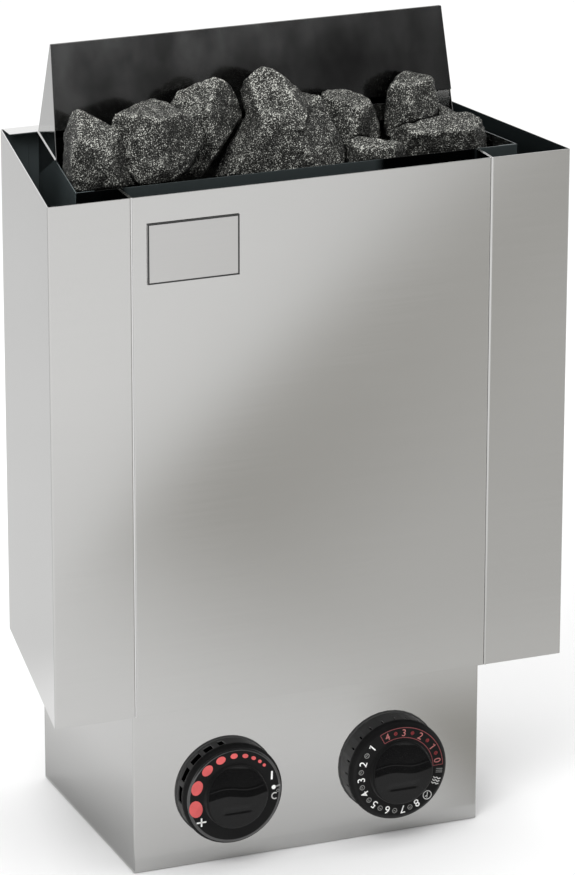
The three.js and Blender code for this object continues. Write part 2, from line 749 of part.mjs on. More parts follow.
// A plane whose normal leans by a slope from the line of sight, in a direction on the outline's plane
function facetPlane([direction, slope, distance]) {
  const turn = THREE.MathUtils.degToRad(direction);
  const lean = THREE.MathUtils.degToRad(slope);
  const normal = viewTowards.clone().multiplyScalar(Math.cos(lean));
  normal.addScaledVector(viewRight, Math.sin(lean) * Math.cos(turn));
  normal.addScaledVector(viewUp, Math.sin(lean) * Math.sin(turn));
  return { normal, distance };
}

// A plane through two corners of the outline, along the line of sight
function outlinePlane(corner, next) {
  const normal = viewRight.clone().multiplyScalar(corner[1] - next[1]);
  normal.addScaledVector(viewUp, next[0] - corner[0]).normalize();
  const point = viewRight.clone().multiplyScalar(corner[0]).addScaledVector(viewUp, corner[1]);
  return { normal, distance: normal.dot(point) };
}

function lumpPlanes({ outline, facets, far }) {
  const sides = outline.map((corner, i) => outlinePlane(corner, outline[(i + 1) % outline.length]));
  const backs = BACK_DIRECTIONS.map((direction) => facetPlane([direction, BACK_SLOPE, far]));
  return [...sides, ...facets.map(facetPlane), ...backs, facetPlane([0, STRAIGHT_BACK, far])];
}

function meetingPoint(first, second, third) {
  const across = new THREE.Vector3().crossVectors(second.normal, third.normal);
  const share = first.normal.dot(across);
  if (Math.abs(share) < PLANE_TOLERANCE) {
    return null;
  }
  const point = across.multiplyScalar(first.distance);
  point.addScaledVector(new THREE.Vector3().crossVectors(third.normal, first.normal), second.distance);
  point.addScaledVector(new THREE.Vector3().crossVectors(first.normal, second.normal), third.distance);
  return point.divideScalar(share);
}

// The solid that all the planes leave standing
function hewn(lump, grow) {
  const planes = lumpPlanes(lump).map(({ normal, distance }) => ({ normal, distance: distance + grow }));
  const corners = [];
  planes.forEach((first, i) => {
    planes.slice(i + 1).forEach((second, k) => {
      for (const third of planes.slice(i + k + 2)) {
        const point = meetingPoint(first, second, third);
        if (point && planes.every(({ normal, distance }) => normal.dot(point) < distance + PLANE_TOLERANCE)) {
          corners.push(point);
        }
      }
    });
  });
  const [across, deep, rise] = lump.at;
  const y = chamberFront + deep * CHAMBER_DEPTH;
  return new ConvexGeometry(corners).translate(across * chamberHalf(y), y, RIM_HEIGHT + rise);
}

function stoneGeometry(lumps, grow) {
  return join(...lumps.map((lump) => hewn(lump, grow)));
}

function chamberPrism(bottom, top) {
  const front = chamberFront + STONE_CLEARANCE;
  const back = chamberBack - FIT;
  const half = (y) => chamberHalf(y) - STONE_CLEARANCE;
  const plan = polygon([
    [-half(front), front],
    [half(front), front],
    [half(back), back],
    [-half(back), back],
  ]);
  return extruded("z", plan, bottom, top);
}

const chamber = chamberPrism(grateTop + FIT, guardTop);
const elementRoom = Array.from({ length: ELEMENT_COUNT }, (_, i) => {
  const room = ELEMENT_RADIUS + BED_GAP;
  const half = legPitch / 2 + room;
  const span = [elementX(i) - half, elementX(i) + half];
  return block(span, acrossPlate(2 * room), [grateBottom, RIM_HEIGHT - ELEMENT_DROP + room]);
});
const laid = [];
STONES.forEach((stone, i) => {
  const trimmed = common(stoneGeometry(stone, 0), chamber);
  const number = String(i + 1).padStart(2, "0");
  part(`stone_${number}`, cut(trimmed, ...laid, ...elementRoom), rock);
  laid.push(stoneGeometry(stone, STONE_GAP));
});

function stoneBed() {
  const rowHeight = (RIM_HEIGHT - BED_TOP_DROP - grateTop) / BED_ROWS;
  const columnWidth = (2 * chamberHalf(chamberMiddle)) / BED_COLUMNS;
  const lumps = [];
  for (let row = 0; row < BED_ROWS; row += 1) {
    for (let column = 0; column < BED_COLUMNS; column += 1) {
      const lump = new THREE.IcosahedronGeometry(BED_OVERLAP, 0);
      lump.rotateZ(row + column).rotateX(row - column);
      lump.scale(columnWidth / 2, CHAMBER_DEPTH / 2, rowHeight / 2);
      const x = (column + 0.5 - BED_COLUMNS / 2) * columnWidth;
      lumps.push(lump.translate(x, chamberMiddle, grateTop + (row + 0.5) * rowHeight));
    }
  }
  const heap = common(join(...lumps), chamber);
  const seats = STONES.map((stone) => stoneGeometry(stone, BED_SEAT));
  return cut(heap, ...elementRoom, ...seats);
}

part("stone_bed", stoneBed(), rock);

// Control box: a bent shell, a top deck and a bottom cover
function boxShell() {
  const profile = bentSheet([
    [boxHalf, BODY_DEPTH],
    [boxHalf, BOX_SETBACK],
    [-boxHalf, BOX_SETBACK],
    [-boxHalf, BODY_DEPTH],
  ]);
  const shell = extruded("z", profile, 0, boxHeight - SHEET - FIT);
  const holes = [THERMOSTAT_X, TIMER_X].map((x) =>
    forward(x, [BOX_SETBACK - PASS, boxInside], DIAL_HEIGHT, BUSHING_RADIUS + FIT));
  return cut(shell, ...holes);
}

const bulbY = (casingBack + panelFront) / 2;
const bulbTop = RIM_HEIGHT - BULB_DROP;

function boxTop() {
  const deckPlate = block([-boxHalf, boxHalf], [BOX_SETBACK, BODY_DEPTH], [boxHeight - SHEET, boxHeight]);
  const rise = [boxHeight - SHEET - PASS, boxHeight + PASS];
  const span = elementSpan - COLLAR_RADIUS + NUT_RADIUS + FIT;
  const opening = block([-span, span], acrossPlate(2 * (NUT_RADIUS + FIT)), rise);
  const grommet = upright(BULB_X, bulbY, rise, CAPILLARY_RADIUS + GROMMET_CLEARANCE, SMALL_SIDES);
  return cut(deckPlate, opening, grommet);
}

function bottomCover() {
  const half = boxHalf - SHEET - FIT;
  const profile = bentSheet([[COVER_LIP, -half], [0, -half], [0, half], [COVER_LIP, half]]);
  const cover = extruded("y", profile, boxInside + BEND, BODY_DEPTH - FIT);
  const rise = [-PASS, SHEET + PASS];
  const tools = [upright(LIMITER_X, LIMITER_Y, rise, RESET_HOLE_RADIUS)];
  for (let i = 0; i < VENT_COUNT; i += 1) {
    const y = VENT_START - i * VENT_PITCH;
    for (const side of [-1, 1]) {
      const span = [side * VENT_OFFSET - VENT_LENGTH / 2, side * VENT_OFFSET + VENT_LENGTH / 2];
      tools.push(block(span, [y - VENT_WIDTH / 2, y + VENT_WIDTH / 2], rise));
    }
  }
  return cut(cover, ...tools);
}

part("control_box_shell", boxShell(), brushedSteel);
part("control_box_top", boxTop(), galvanised);
part("bottom_cover", bottomCover(), brushedSteel);

// Dials: a fixed bezel, a cap with a scooped grip, a spindle and a switch body
function dialLevels(reach) {
  const face = BOX_SETBACK - reach;
  const back = face + DIAL_THICKNESS;
  return { face, back, bezelFront: back + DIAL_RUN_GAP, bezelBack: BOX_SETBACK - FIT };
}

function bezel(reach, slots, slotWidth) {
  const { bezelFront, bezelBack } = dialLevels(reach);
  const inner = BEZEL_BORE;
  const outer = DIAL_RADIUS + BEZEL_LIP;
  const lip = bezelBack - BEZEL_LIP_HEIGHT;
  const neck = DIAL_RADIUS - BEZEL_LIP;
  const ring = turned([
    [inner, bezelBack], [outer, bezelBack], [outer, lip], [neck, lip], [neck, bezelFront],
    [inner, bezelFront], [inner, bezelBack],
  ].reverse(), DIAL_SEGMENTS);
  const slotMiddle = bezelFront + BEZEL_SLOT_MARGIN + BEZEL_SLOT_HEIGHT / 2;
  const tools = [];
  for (let i = 0; i < slots; i += 1) {
    const tool = new THREE.BoxGeometry(slotWidth, BEZEL_SLOT_HEIGHT, 2 * BEZEL_SLOT_DEPTH);
    tool.translate(0, slotMiddle, neck).rotateY((2 * Math.PI * i) / slots);
    tools.push(tool);
  }
  return cut(ring, ...tools);
}

function knob(reach) {
  const { face, back } = dialLevels(reach);
  const hub = SPINDLE_RADIUS + HUB_WALL;
  const bore = SPINDLE_RADIUS + SPINDLE_CLEARANCE;
  const ceiling = face + DIAL_WALL;
  const hubEnd = ceiling + HUB_LENGTH;
  const flat = DIAL_RADIUS - DIAL_ROUND;
  const shoulder = [];
  for (let i = 0; i <= DIAL_ROUND_STEPS; i += 1) {
    const angle = (Math.PI / 2) * (i / DIAL_ROUND_STEPS);
    shoulder.push([flat + DIAL_ROUND * Math.sin(angle), face + DIAL_ROUND * (1 - Math.cos(angle))]);
  }
  const cap = turned([
    [0, face], ...shoulder, [DIAL_RADIUS, back], [DIAL_RADIUS - DIAL_WALL, back],
    [DIAL_RADIUS - DIAL_WALL, face + DIAL_ROUND], [flat - DIAL_WALL, ceiling],
    [hub, ceiling], [hub, hubEnd], [bore, hubEnd], [bore, ceiling], [0, ceiling],
  ], DIAL_SEGMENTS);
  const tip = face - GRIP_HEIGHT;
  const boss = turned([
    [0, tip], [GRIP_RADIUS - GRIP_ROUND, tip], [GRIP_RADIUS, tip + GRIP_ROUND],
    [GRIP_RADIUS, face + PASS], [0, face + PASS],
  ], DIAL_SEGMENTS);
  const scoops = [-1, 1].map((side) => {
    const scoop = new THREE.SphereGeometry(1, SMALL_SIDES, SMALL_SIDES);
    scoop.scale(SCOOP_HALF_WIDTH, SCOOP_DEPTH, SCOOP_HALF_HEIGHT);
    return scoop.translate(-side * GRIP_SHIFT, tip, side * (GRIP_BAR / 2 + SCOOP_HALF_HEIGHT));
  });
  return join(cap, cut(boss, ...scoops));
}

function spindle(reach) {
  const { face } = dialLevels(reach);
  const start = face + DIAL_WALL + SPINDLE_CLEARANCE;
  const end = boxInside + SPINDLE_DEPTH - SPINDLE_CLEARANCE;
  return forward(0, [start, end], 0, SPINDLE_RADIUS, SMALL_SIDES);
}

function switchBody(size, depth) {
  const half = size / 2;
  const back = boxInside + depth;
  const body = block([-half, half], [boxInside, back], [-half, half]);
  const bushing = forward(0, [BOX_SETBACK - BUSHING_REACH, boxInside + PASS], 0, BUSHING_RADIUS);
  const tabs = [-1, 1].map((side) => {
    const x = side * (half - TAB_WIDTH);
    return block(
      [x - TAB_WIDTH / 2, x + TAB_WIDTH / 2],
      [back - PASS, back + TAB_LENGTH],
      [-TAB_THICKNESS / 2, TAB_THICKNESS / 2],
    );
  });
  const boreRadius = SPINDLE_RADIUS + SPINDLE_CLEARANCE;
  const boreStart = BOX_SETBACK - BUSHING_REACH - PASS;
  const bore = forward(0, [boreStart, boxInside + SPINDLE_DEPTH], 0, boreRadius, SMALL_SIDES);
  return cut(join(body, bushing, ...tabs), bore);
}

const thermostatAt = [THERMOSTAT_X, 0, DIAL_HEIGHT];
const timerAt = [TIMER_X, 0, DIAL_HEIGHT];
const thermostatBezel = bezel(THERMOSTAT_REACH, THERMOSTAT_SLOTS, THERMOSTAT_SLOT_WIDTH);
part("thermostat_bezel", thermostatBezel, blackPlastic, thermostatAt);
part("thermostat_knob", knob(THERMOSTAT_REACH), blackPlastic, thermostatAt);
part("thermostat_spindle", spindle(THERMOSTAT_REACH), galvanised, thermostatAt);
part("thermostat_body", switchBody(THERMOSTAT_BODY, THERMOSTAT_BODY_DEPTH), ceramicWhite, thermostatAt);
part("timer_bezel", bezel(TIMER_REACH, TIMER_SLOTS, TIMER_SLOT_WIDTH), blackPlastic, timerAt);
part("timer_knob", knob(TIMER_REACH), blackPlastic, timerAt);
part("timer_spindle", spindle(TIMER_REACH), galvanised, timerAt);
part("timer_body", switchBody(TIMER_BODY, TIMER_BODY_DEPTH), ceramicWhite, timerAt);

// Limiter on the bottom cover, with its reset button behind a hole
const coverTop = SHEET + FIT;
const limiterBottom = coverTop + LIMITER_FOOT;

function limiter() {
  const half = LIMITER_SIZE / 2;
  const span = [-half, half];
  const body = block(span, span, [limiterBottom, limiterBottom + LIMITER_HEIGHT]);
  const feet = [-1, 1].map((side) => {
    const across = [side * half, side * (half - LIMITER_FOOT_WIDTH)].sort((a, b) => a - b);
    return block(across, span, [coverTop, limiterBottom + PASS]);
  });
  const depth = RESET_STEM + RESET_TRAVEL + RESET_RECESS + RESET_CAP;
  const boreRadius = RESET_STEM_RADIUS + SPINDLE_CLEARANCE;
  const bore = upright(0, 0, [limiterBottom - PASS, depth], boreRadius, SMALL_SIDES);
  return cut(join(body, ...feet), bore);
}

function resetButton() {
  const capTop = RESET_RECESS + RESET_CAP;
  const cap = upright(0, 0, [RESET_RECESS, capTop], RESET_RADIUS);
  const stemTop = capTop + RESET_STEM - SPINDLE_CLEARANCE;
  return join(cap, upright(0, 0, [capTop - PASS, stemTop], RESET_STEM_RADIUS, SMALL_SIDES));
}

const limiterAt = [LIMITER_X, LIMITER_Y, 0];
part("limiter_body", limiter(), blackPlastic, limiterAt);
part("reset_button", resetButton(), redPlastic, limiterAt);

// Terminal block on the cover, and the supply gland through the back panel
function terminalBlock() {
  const rear = BODY_DEPTH - TERMINAL_GAP;
  const front = rear - TERMINAL_DEPTH;
  const left = TERMINAL_X - TERMINAL_LENGTH / 2;
  const body = block([left, left + TERMINAL_LENGTH], [front, rear], [coverTop, coverTop + TERMINAL_HEIGHT]);
  const tools = [];
  const pitch = TERMINAL_LENGTH / TERMINAL_WAYS;
  for (let i = 0; i < TERMINAL_WAYS; i += 1) {
    const x = left + (i + 0.5) * pitch;
    const middle = coverTop + TERMINAL_HEIGHT / 2;
    tools.push(forward(x, [front - PASS, rear + PASS], middle, TERMINAL_BORE, SMALL_SIDES));
  }
  return cut(body, ...tools);
}

function gland() {
  const seat = panelRear + FIT;
  const tip = wallFace - GLAND_WALL_GAP;
  const inner = panelFront - 2 * GLAND_NUT_THICKNESS;
  const flange = forward(0, [seat, seat + GLAND_NUT_THICKNESS], 0, GLAND_NUT, NUT_SIDES);
  const dome = forward(0, [seat + PASS, tip], 0, GLAND_DOME);
  const thread = forward(0, [inner, seat + PASS], 0, GLAND_THREAD);
  const bore = forward(0, [inner - PASS, tip + PASS], 0, GLAND_BORE);
  return cut(join(flange, dome, thread), bore);
}

function glandNut() {
  const nut = forward(0, [panelFront - FIT - GLAND_NUT_THICKNESS, panelFront - FIT], 0, GLAND_NUT, NUT_SIDES);
  return cut(nut, forward(0, [0, wallFace], 0, GLAND_THREAD + FIT));
}

const glandAt = [GLAND_X, 0, GLAND_HEIGHT];
part("terminal_block", terminalBlock(), ceramicWhite);
part("supply_gland", gland(), blackPlastic, glandAt);
part("supply_gland_nut", glandNut(), blackPlastic, glandAt);

// Thermostat bulb in the rear gap, on a capillary from the thermostat
function bulbAndCapillary() {
  const bulbBottom = bulbTop - BULB_LENGTH;
  const rear = boxInside + THERMOSTAT_BODY_DEPTH + FIT;
  const capillaryLevel = DIAL_HEIGHT + THERMOSTAT_BODY / 3;
  const route = new THREE.CatmullRomCurve3([
    new THREE.Vector3(THERMOSTAT_X, rear, capillaryLevel),
    new THREE.Vector3(THERMOSTAT_X, rear + CAPILLARY_BEND, capillaryLevel),
    new THREE.Vector3(THERMOSTAT_X - CAPILLARY_BEND, (rear + bulbY) / 2, capillaryLevel),
    new THREE.Vector3(BULB_X, bulbY - CAPILLARY_BEND, capillaryLevel + CAPILLARY_BEND),
    new THREE.Vector3(BULB_X, bulbY, boxHeight - CAPILLARY_BEND),
    new THREE.Vector3(BULB_X, bulbY, boxHeight + CAPILLARY_BEND),
    new THREE.Vector3(BULB_X, bulbY, (boxHeight + bulbBottom) / 2),
    new THREE.Vector3(BULB_X, bulbY, bulbBottom + PASS),
  ]);
  const bulb = upright(BULB_X, bulbY, [bulbBottom, bulbTop], BULB_RADIUS, SMALL_SIDES);
  return join(bulb, rod(route, CAPILLARY_STEPS, CAPILLARY_RADIUS, CAPILLARY_SIDES));
}

function bulbClip() {
  const hold = BULB_RADIUS + FIT;
  const face = panelFront - FIT;
  const profile = bentSheet([
    [BULB_X - hold - CLIP_WING, face],
    [BULB_X - hold, face],
    [BULB_X - hold, bulbY - hold],
    [BULB_X + hold, bulbY - hold],
    [BULB_X + hold, face],
    [BULB_X + hold + CLIP_WING, face],
  ]);
  const middle = bulbTop - BULB_LENGTH / 2;
  return extruded("z", profile, middle - CLIP_HEIGHT / 2, middle + CLIP_HEIGHT / 2);
}

part("thermostat_bulb", bulbAndCapillary(), copper);
part("bulb_clip", bulbClip(), galvanised);

// Leads held inside the box, from tab to tab
function lead(points) {
  const route = new THREE.CatmullRomCurve3(points.map((point) => new THREE.Vector3(...point)));
  return rod(route, Math.ceil(route.getLength() / LEAD_FACET), LEAD_RADIUS, ROD_SIDES);
}

const tabY = (depth) => boxInside + depth + TAB_LENGTH + FIT;
const tabX = (x, size, side) => x + side * (size / 2 - TAB_WIDTH);
const thermostatTab = (side) =>
  [tabX(THERMOSTAT_X, THERMOSTAT_BODY, side), tabY(THERMOSTAT_BODY_DEPTH), DIAL_HEIGHT];
const timerTab = (side) => [tabX(TIMER_X, TIMER_BODY, side), tabY(TIMER_BODY_DEPTH), DIAL_HEIGHT];
const behind = ([x, y, z], distance, rise = 0) => [x, y + distance, z + rise];
const limiterTop = limiterBottom + LIMITER_HEIGHT + FIT;
const limiterTabX = (side) => LIMITER_X + side * LIMITER_SIZE / 4;
const linkBottom = linkTop - LINK_BAR_THICKNESS - FIT;
const terminalFront = BODY_DEPTH - TERMINAL_GAP - TERMINAL_DEPTH - FIT;
const terminalWay = (i) => [
  TERMINAL_X + (i - (TERMINAL_WAYS - 1) / 2) * (TERMINAL_LENGTH / TERMINAL_WAYS),
  terminalFront,
  coverTop + TERMINAL_HEIGHT / 2,
];

part("lead_timer_to_thermostat", lead([
  thermostatTab(1),
  behind(thermostatTab(1), LEAD_RUN),
  [(THERMOSTAT_X + TIMER_X) / 2, tabY(TIMER_BODY_DEPTH) + LEAD_RUN, DIAL_HEIGHT - LEAD_DROP],
  behind(timerTab(-1), LEAD_RUN),
  timerTab(-1),
]), leadSleeve);
part("lead_supply_to_timer", lead([
  timerTab(1),
  behind(timerTab(1), LEAD_RUN),
  behind(timerTab(1), 2 * LEAD_RUN, -2 * LEAD_DROP),
  behind(terminalWay(3), -LEAD_RUN),
  terminalWay(3),
]), leadSleeve);
part("lead_thermostat_to_limiter", lead([
  thermostatTab(-1),
  behind(thermostatTab(-1), LEAD_RUN),
  [limiterTabX(-1), LIMITER_Y - 2 * LEAD_RUN, limiterTop + LEAD_RUN],
  [limiterTabX(-1), LIMITER_Y, limiterTop + LEAD_RUN],
  [limiterTabX(-1), LIMITER_Y, limiterTop],
]), leadSleeve);
part("lead_limiter_to_element", lead([
  [limiterTabX(1), LIMITER_Y, limiterTop],
  [limiterTabX(1), LIMITER_Y, limiterTop + LEAD_RUN],
  [limiterTabX(1) + 2 * LEAD_RUN, LIMITER_Y - 2 * LEAD_RUN, limiterTop + 2 * LEAD_RUN],
  [legXs[2], chamberMiddle + LEAD_RUN, linkBottom - LEAD_RUN],
  [legXs[2], chamberMiddle, linkBottom - LEAD_DROP],
  [legXs[2], chamberMiddle, linkBottom],
]), leadSleeve);

// Wall fixing: a hooked rack and a lower spacer
function channel(top, height, width) {
  const front = panelRear + FIT;
  const profile = bentSheet([[front, top], [wallFace, top], [wallFace, top - height], [front, top - height]]);
  return extruded("x", profile, -width / 2, width / 2);
}

function wallRack() {
  const hooks = [];
  const keyholes = [];
  for (const side of [-1, 1]) {
    const span = [side * HOOK_SPREAD - HOOK_WIDTH / 2, side * HOOK_SPREAD + HOOK_WIDTH / 2];
    const tip = panelFront - HOOK_REACH;
    hooks.push(block(span, [tip, panelRear + FIT + PASS], [RACK_TOP - SHEET, RACK_TOP]));
    hooks.push(block(span, [tip, tip + SHEET], [RACK_TOP - SHEET, RACK_TOP + HOOK_RISE]));
    const x = side * KEYHOLE_SPREAD;
    const z = RACK_TOP - RACK_HEIGHT / 2 - KEYHOLE_RISE / 2;
    const through = [wallFace - SHEET - PASS, wallFace + PASS];
    keyholes.push(forward(x, through, z, KEYHOLE_RADIUS, SMALL_SIDES));
    keyholes.push(forward(x, through, z + KEYHOLE_RISE, KEYHOLE_SLOT, SMALL_SIDES));
    keyholes.push(block([x - KEYHOLE_SLOT, x + KEYHOLE_SLOT], through, [z, z + KEYHOLE_RISE]));
  }
  return cut(join(channel(RACK_TOP, RACK_HEIGHT, RACK_WIDTH), ...hooks), ...keyholes);
}

part("wall_rack", wallRack(), galvanised);
part("lower_spacer", channel(SPACER_TOP, SPACER_HEIGHT, SPACER_WIDTH), galvanised);

export default group;
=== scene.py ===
"""Looks of a wall-hung electric sauna heater, in metres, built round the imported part."""

import json
import math

import bmesh
import bpy
from mathutils import Matrix, Vector, noise


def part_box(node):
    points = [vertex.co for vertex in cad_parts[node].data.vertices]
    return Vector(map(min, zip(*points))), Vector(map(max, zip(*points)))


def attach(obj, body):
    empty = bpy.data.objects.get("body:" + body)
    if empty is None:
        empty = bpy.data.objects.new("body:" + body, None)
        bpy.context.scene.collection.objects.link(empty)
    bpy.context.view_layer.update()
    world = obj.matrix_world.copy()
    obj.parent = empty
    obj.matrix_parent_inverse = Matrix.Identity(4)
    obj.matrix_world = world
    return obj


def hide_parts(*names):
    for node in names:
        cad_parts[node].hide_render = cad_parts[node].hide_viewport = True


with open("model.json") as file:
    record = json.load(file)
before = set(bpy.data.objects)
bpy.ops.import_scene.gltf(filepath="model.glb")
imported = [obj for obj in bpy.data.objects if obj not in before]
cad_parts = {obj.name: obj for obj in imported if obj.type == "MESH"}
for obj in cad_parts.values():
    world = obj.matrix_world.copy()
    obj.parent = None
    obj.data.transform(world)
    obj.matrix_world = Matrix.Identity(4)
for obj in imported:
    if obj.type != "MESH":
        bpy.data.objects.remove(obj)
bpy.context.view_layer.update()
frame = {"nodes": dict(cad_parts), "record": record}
nodes = frame["nodes"]
scene = bpy.context.scene
scene.view_settings.view_transform = "Standard"
MM = 0.001


# Shader graphs
class Shader:
    """A material with one principled surface. Inputs take values or the sockets of other nodes."""

    def __init__(self, name, **surface):
        self.material = bpy.data.materials.new(name)
        self.material.use_nodes = True
        self.tree = self.material.node_tree
        self.tree.nodes.clear()
        output = self.node("ShaderNodeOutputMaterial")
        self.surface = self.node("ShaderNodeBsdfPrincipled")
        self.tree.links.new(self.surface.outputs["BSDF"], output.inputs["Surface"])
        self.coords = self.node("ShaderNodeTexCoord")
        self.set(self.surface, {key.replace("_", " "): value for key, value in surface.items()})

    def node(self, kind, inputs=None, **settings):
        made = self.tree.nodes.new(kind)
        for key, value in settings.items():
            setattr(made, key, value)
        self.set(made, inputs or {})
        return made

    def set(self, node, inputs):
        for key, value in inputs.items():
            if isinstance(value, bpy.types.NodeSocket):
                self.tree.links.new(value, node.inputs[key])
            else:
                node.inputs[key].default_value = value

    def spots(self, stretch=(1, 1, 1)):
        """Object coordinates in metres, stretched along each axis."""
        place = self.node("ShaderNodeMapping", {"Vector": self.coords.outputs["Object"], "Scale": stretch})
        return place.outputs["Vector"]

    def clouds(self, scale, detail=3.0, roughness=0.5, stretch=(1, 1, 1)):
        inputs = {"Vector": self.spots(stretch), "Scale": scale, "Detail": detail, "Roughness": roughness}
        return self.node("ShaderNodeTexNoise", inputs).outputs["Fac"]

    def cells(self, scale, feature="F1", output="Distance"):
        inputs = {"Vector": self.spots(), "Scale": scale}
        return self.node("ShaderNodeTexVoronoi", inputs, feature=feature).outputs[output]

    def ramp(self, factor, stops):
        made = self.node("ShaderNodeValToRGB", {"Fac": factor})
        band = made.color_ramp
        while len(band.elements) < len(stops):
            band.elements.new(0.5)
        for element, (position, colour) in zip(band.elements, stops):
            element.position = position
            element.color = (*colour, 1)
        return made.outputs["Color"]

    def span(self, value, low, high, start=0.0, end=1.0):
        inputs = {"Value": value, "From Min": start, "From Max": end, "To Min": low, "To Max": high}
        return self.node("ShaderNodeMapRange", inputs).outputs["Result"]

    def fade(self, value, start, end):
        """0 before the start, 1 past the end, eased between."""
        inputs = {"Value": value, "From Min": start, "From Max": end}
        return self.node("ShaderNodeMapRange", inputs, interpolation_type="SMOOTHSTEP").outputs["Result"]

    def along(self, direction):
        """Distance of the surface along a direction, in metres."""
        inputs = {0: self.coords.outputs["Object"], 1: direction}
        return self.node("ShaderNodeVectorMath", inputs, operation="DOT_PRODUCT").outputs["Value"]

    def sideways(self):
        """Distance from the middle plane, in metres."""
        return self.maths("ABSOLUTE", self.along((1, 0, 0)), 0.0)

    def from_axis(self, centre):
        """Distance from an axis along y through (x, z), in metres."""
        inputs = {0: self.coords.outputs["Object"], 1: (centre[0], 0, centre[1])}
        offset = self.node("ShaderNodeVectorMath", inputs, operation="SUBTRACT").outputs["Vector"]
        flat = self.node("ShaderNodeVectorMath", {0: offset, 1: (1, 0, 1)}, operation="MULTIPLY")
        length = self.node("ShaderNodeVectorMath", {0: flat.outputs["Vector"]}, operation="LENGTH")
        return length.outputs["Value"]

    def facing(self, direction):
        """Cosine of the angle between the surface and a direction."""
        inputs = {0: self.coords.outputs["Normal"], 1: direction}
        return self.node("ShaderNodeVectorMath", inputs, operation="DOT_PRODUCT").outputs["Value"]

    def inward(self, start, end):
        """1 where an upright surface faces the middle of the object, 0 where it faces out."""
        flat = self.spots((1, 1, 0))
        inputs = {0: flat, 1: self.coords.outputs["Normal"]}
        turned = self.node("ShaderNodeVectorMath", inputs, operation="DOT_PRODUCT").outputs["Value"]
        return self.fade(turned, -start, -end)

    def maths(self, operation, first, second):
        made = self.node("ShaderNodeMath", operation=operation)
        self.set(made, {0: first, 1: second})
        return made.outputs[0]

    def blend(self, factor, first, second):
        made = self.node("ShaderNodeMix", data_type="RGBA")
        self.set(made, {0: factor, 6: first, 7: second})
        return made.outputs[2]

    def plus(self, first, second):
        made = self.node("ShaderNodeMix", data_type="RGBA", blend_type="ADD")
        self.set(made, {0: 1.0, 6: first, 7: second})
        return made.outputs[2]

    def times(self, first, second):
        made = self.node("ShaderNodeMix", data_type="RGBA", blend_type="MULTIPLY")
        self.set(made, {0: 1.0, 6: first, 7: second})
        return made.outputs[2]

    def painted_light_along_x(self, start, end, stops):
        """Shares of the colour left at places from a start to an end along x: painted light and shade."""
        place = self.span(self.along((1, 0, 0)), 0.0, 1.0, start, end)
        return self.ramp(place, [(at, (share,) * 3) for at, share in stops])

    def relief(self, height, strength, distance):
        inputs = {"Height": height, "Strength": strength, "Distance": distance}
        self.set(self.surface, {"Normal": self.node("ShaderNodeBump", inputs).outputs["Normal"]})


def tint(colour, share):
    return tuple(channel * share for channel in colour)


def steel(name, colour, roughness, grain=900.0, swing=0.015, depth=0.004, metal=1.0, inside=None, spare=None,
          painted_top_highlight=None, painted_light_ramp=None, painted_shadow_corner=None):
    """Sheet steel with a fine grain and faint smudges. Inner faces may have (colour, roughness, metal).

    A painted highlight colour goes on what faces up. Painted light and shade is (start, end, stops) of shares of the
    colour along x.
    A corner is (direction, start, end): past its end along the direction the sheet is painted black, a painted
    shadow.
    """
    made = Shader(name)
    sheen = metal
    lines = made.clouds(1.0, 4.0, 0.6, (9.0, 9.0, grain))
    smudge = made.clouds(7.0, 3.0, 0.55)
    shade = made.ramp(lines, [(0.25, tint(colour, 1 - swing)), (0.75, tint(colour, 1 + swing))])
    mixed = made.maths("ADD", made.span(lines, -0.015, 0.015), made.span(smudge, -0.02, 0.02))
    gloss = made.maths("ADD", mixed, roughness)
    if inside:
        inner = made.inward(0.02, 0.06)
        if spare:
            inner = made.maths("MULTIPLY", inner, made.fade(made.sideways(), *spare))
        dark = made.ramp(smudge, [(0.35, tint(inside[0], 0.85)), (0.65, tint(inside[0], 1.15))])
        shade = made.blend(inner, shade, dark)
        gloss = made.maths("MULTIPLY", gloss, made.span(inner, 1.0, inside[1] / roughness))
        sheen = made.span(inner, metal, inside[2])
    # Painted highlight: faces turned up take a lighter colour.
    if painted_top_highlight:
        shade = made.blend(made.fade(made.facing((0, 0, 1)), 0.5, 0.9), shade, (*painted_top_highlight, 1))
    # Painted light and shade: the colour scaled along x.
    if painted_light_ramp:
        shade = made.times(shade, made.painted_light_along_x(*painted_light_ramp))
    # Painted shadow: black with no metal sheen past a line across the corner.
    if painted_shadow_corner:
        direction, start, end = painted_shadow_corner
        past = made.fade(made.along(direction), start, end)
        shade = made.blend(past, shade, (0.002, 0.002, 0.002, 1))
        sheen = made.maths("MULTIPLY", made.span(past, 1.0, 0.0), sheen)
        made.set(made.surface, {"Specular IOR Level": made.span(past, 0.5, 0.05)})
    made.set(made.surface, {"Base Color": shade, "Roughness": gloss, "Metallic": sheen})
    made.relief(lines, depth, 0.0002)
    return made.material


def reflection_painted_steel(name, colour, roughness, painted_light_ramp, fall):
    """Polished sheet with painted reflections: soft blotches drawn out upwards, and painted shade towards the
    bottom. Fall is (low, high, share left at the low end).
    """
    made = Shader(name, Metallic=1.0)
    # Painted reflection: soft blotches, drawn out upwards.
    painted_blotches = made.clouds(30.0, 3.0, 0.55, (1.0, 1.0, 0.5))
    haze = made.clouds(150.0, 3.0, 0.6)
    mixed = made.maths("ADD", painted_blotches, made.span(haze, -0.03, 0.03))
    stops = [(0.34, tint(colour, 0.6)), (0.5, colour), (0.7, tint(colour, 1.6))]
    shade = made.times(made.ramp(mixed, stops), made.painted_light_along_x(*painted_light_ramp))
    low, high, share = fall
    # Painted shade: darker towards the bottom, from the high level down to the low one.
    shade = made.times(shade, made.span(made.along((0, 0, 1)), share, 1.0, low, high))
    made.set(made.surface, {"Base Color": shade})
    made.set(made.surface, {"Roughness": made.span(painted_blotches, roughness - 0.03, roughness + 0.05)})
    made.relief(haze, 0.004, 0.0002)
    return made.material


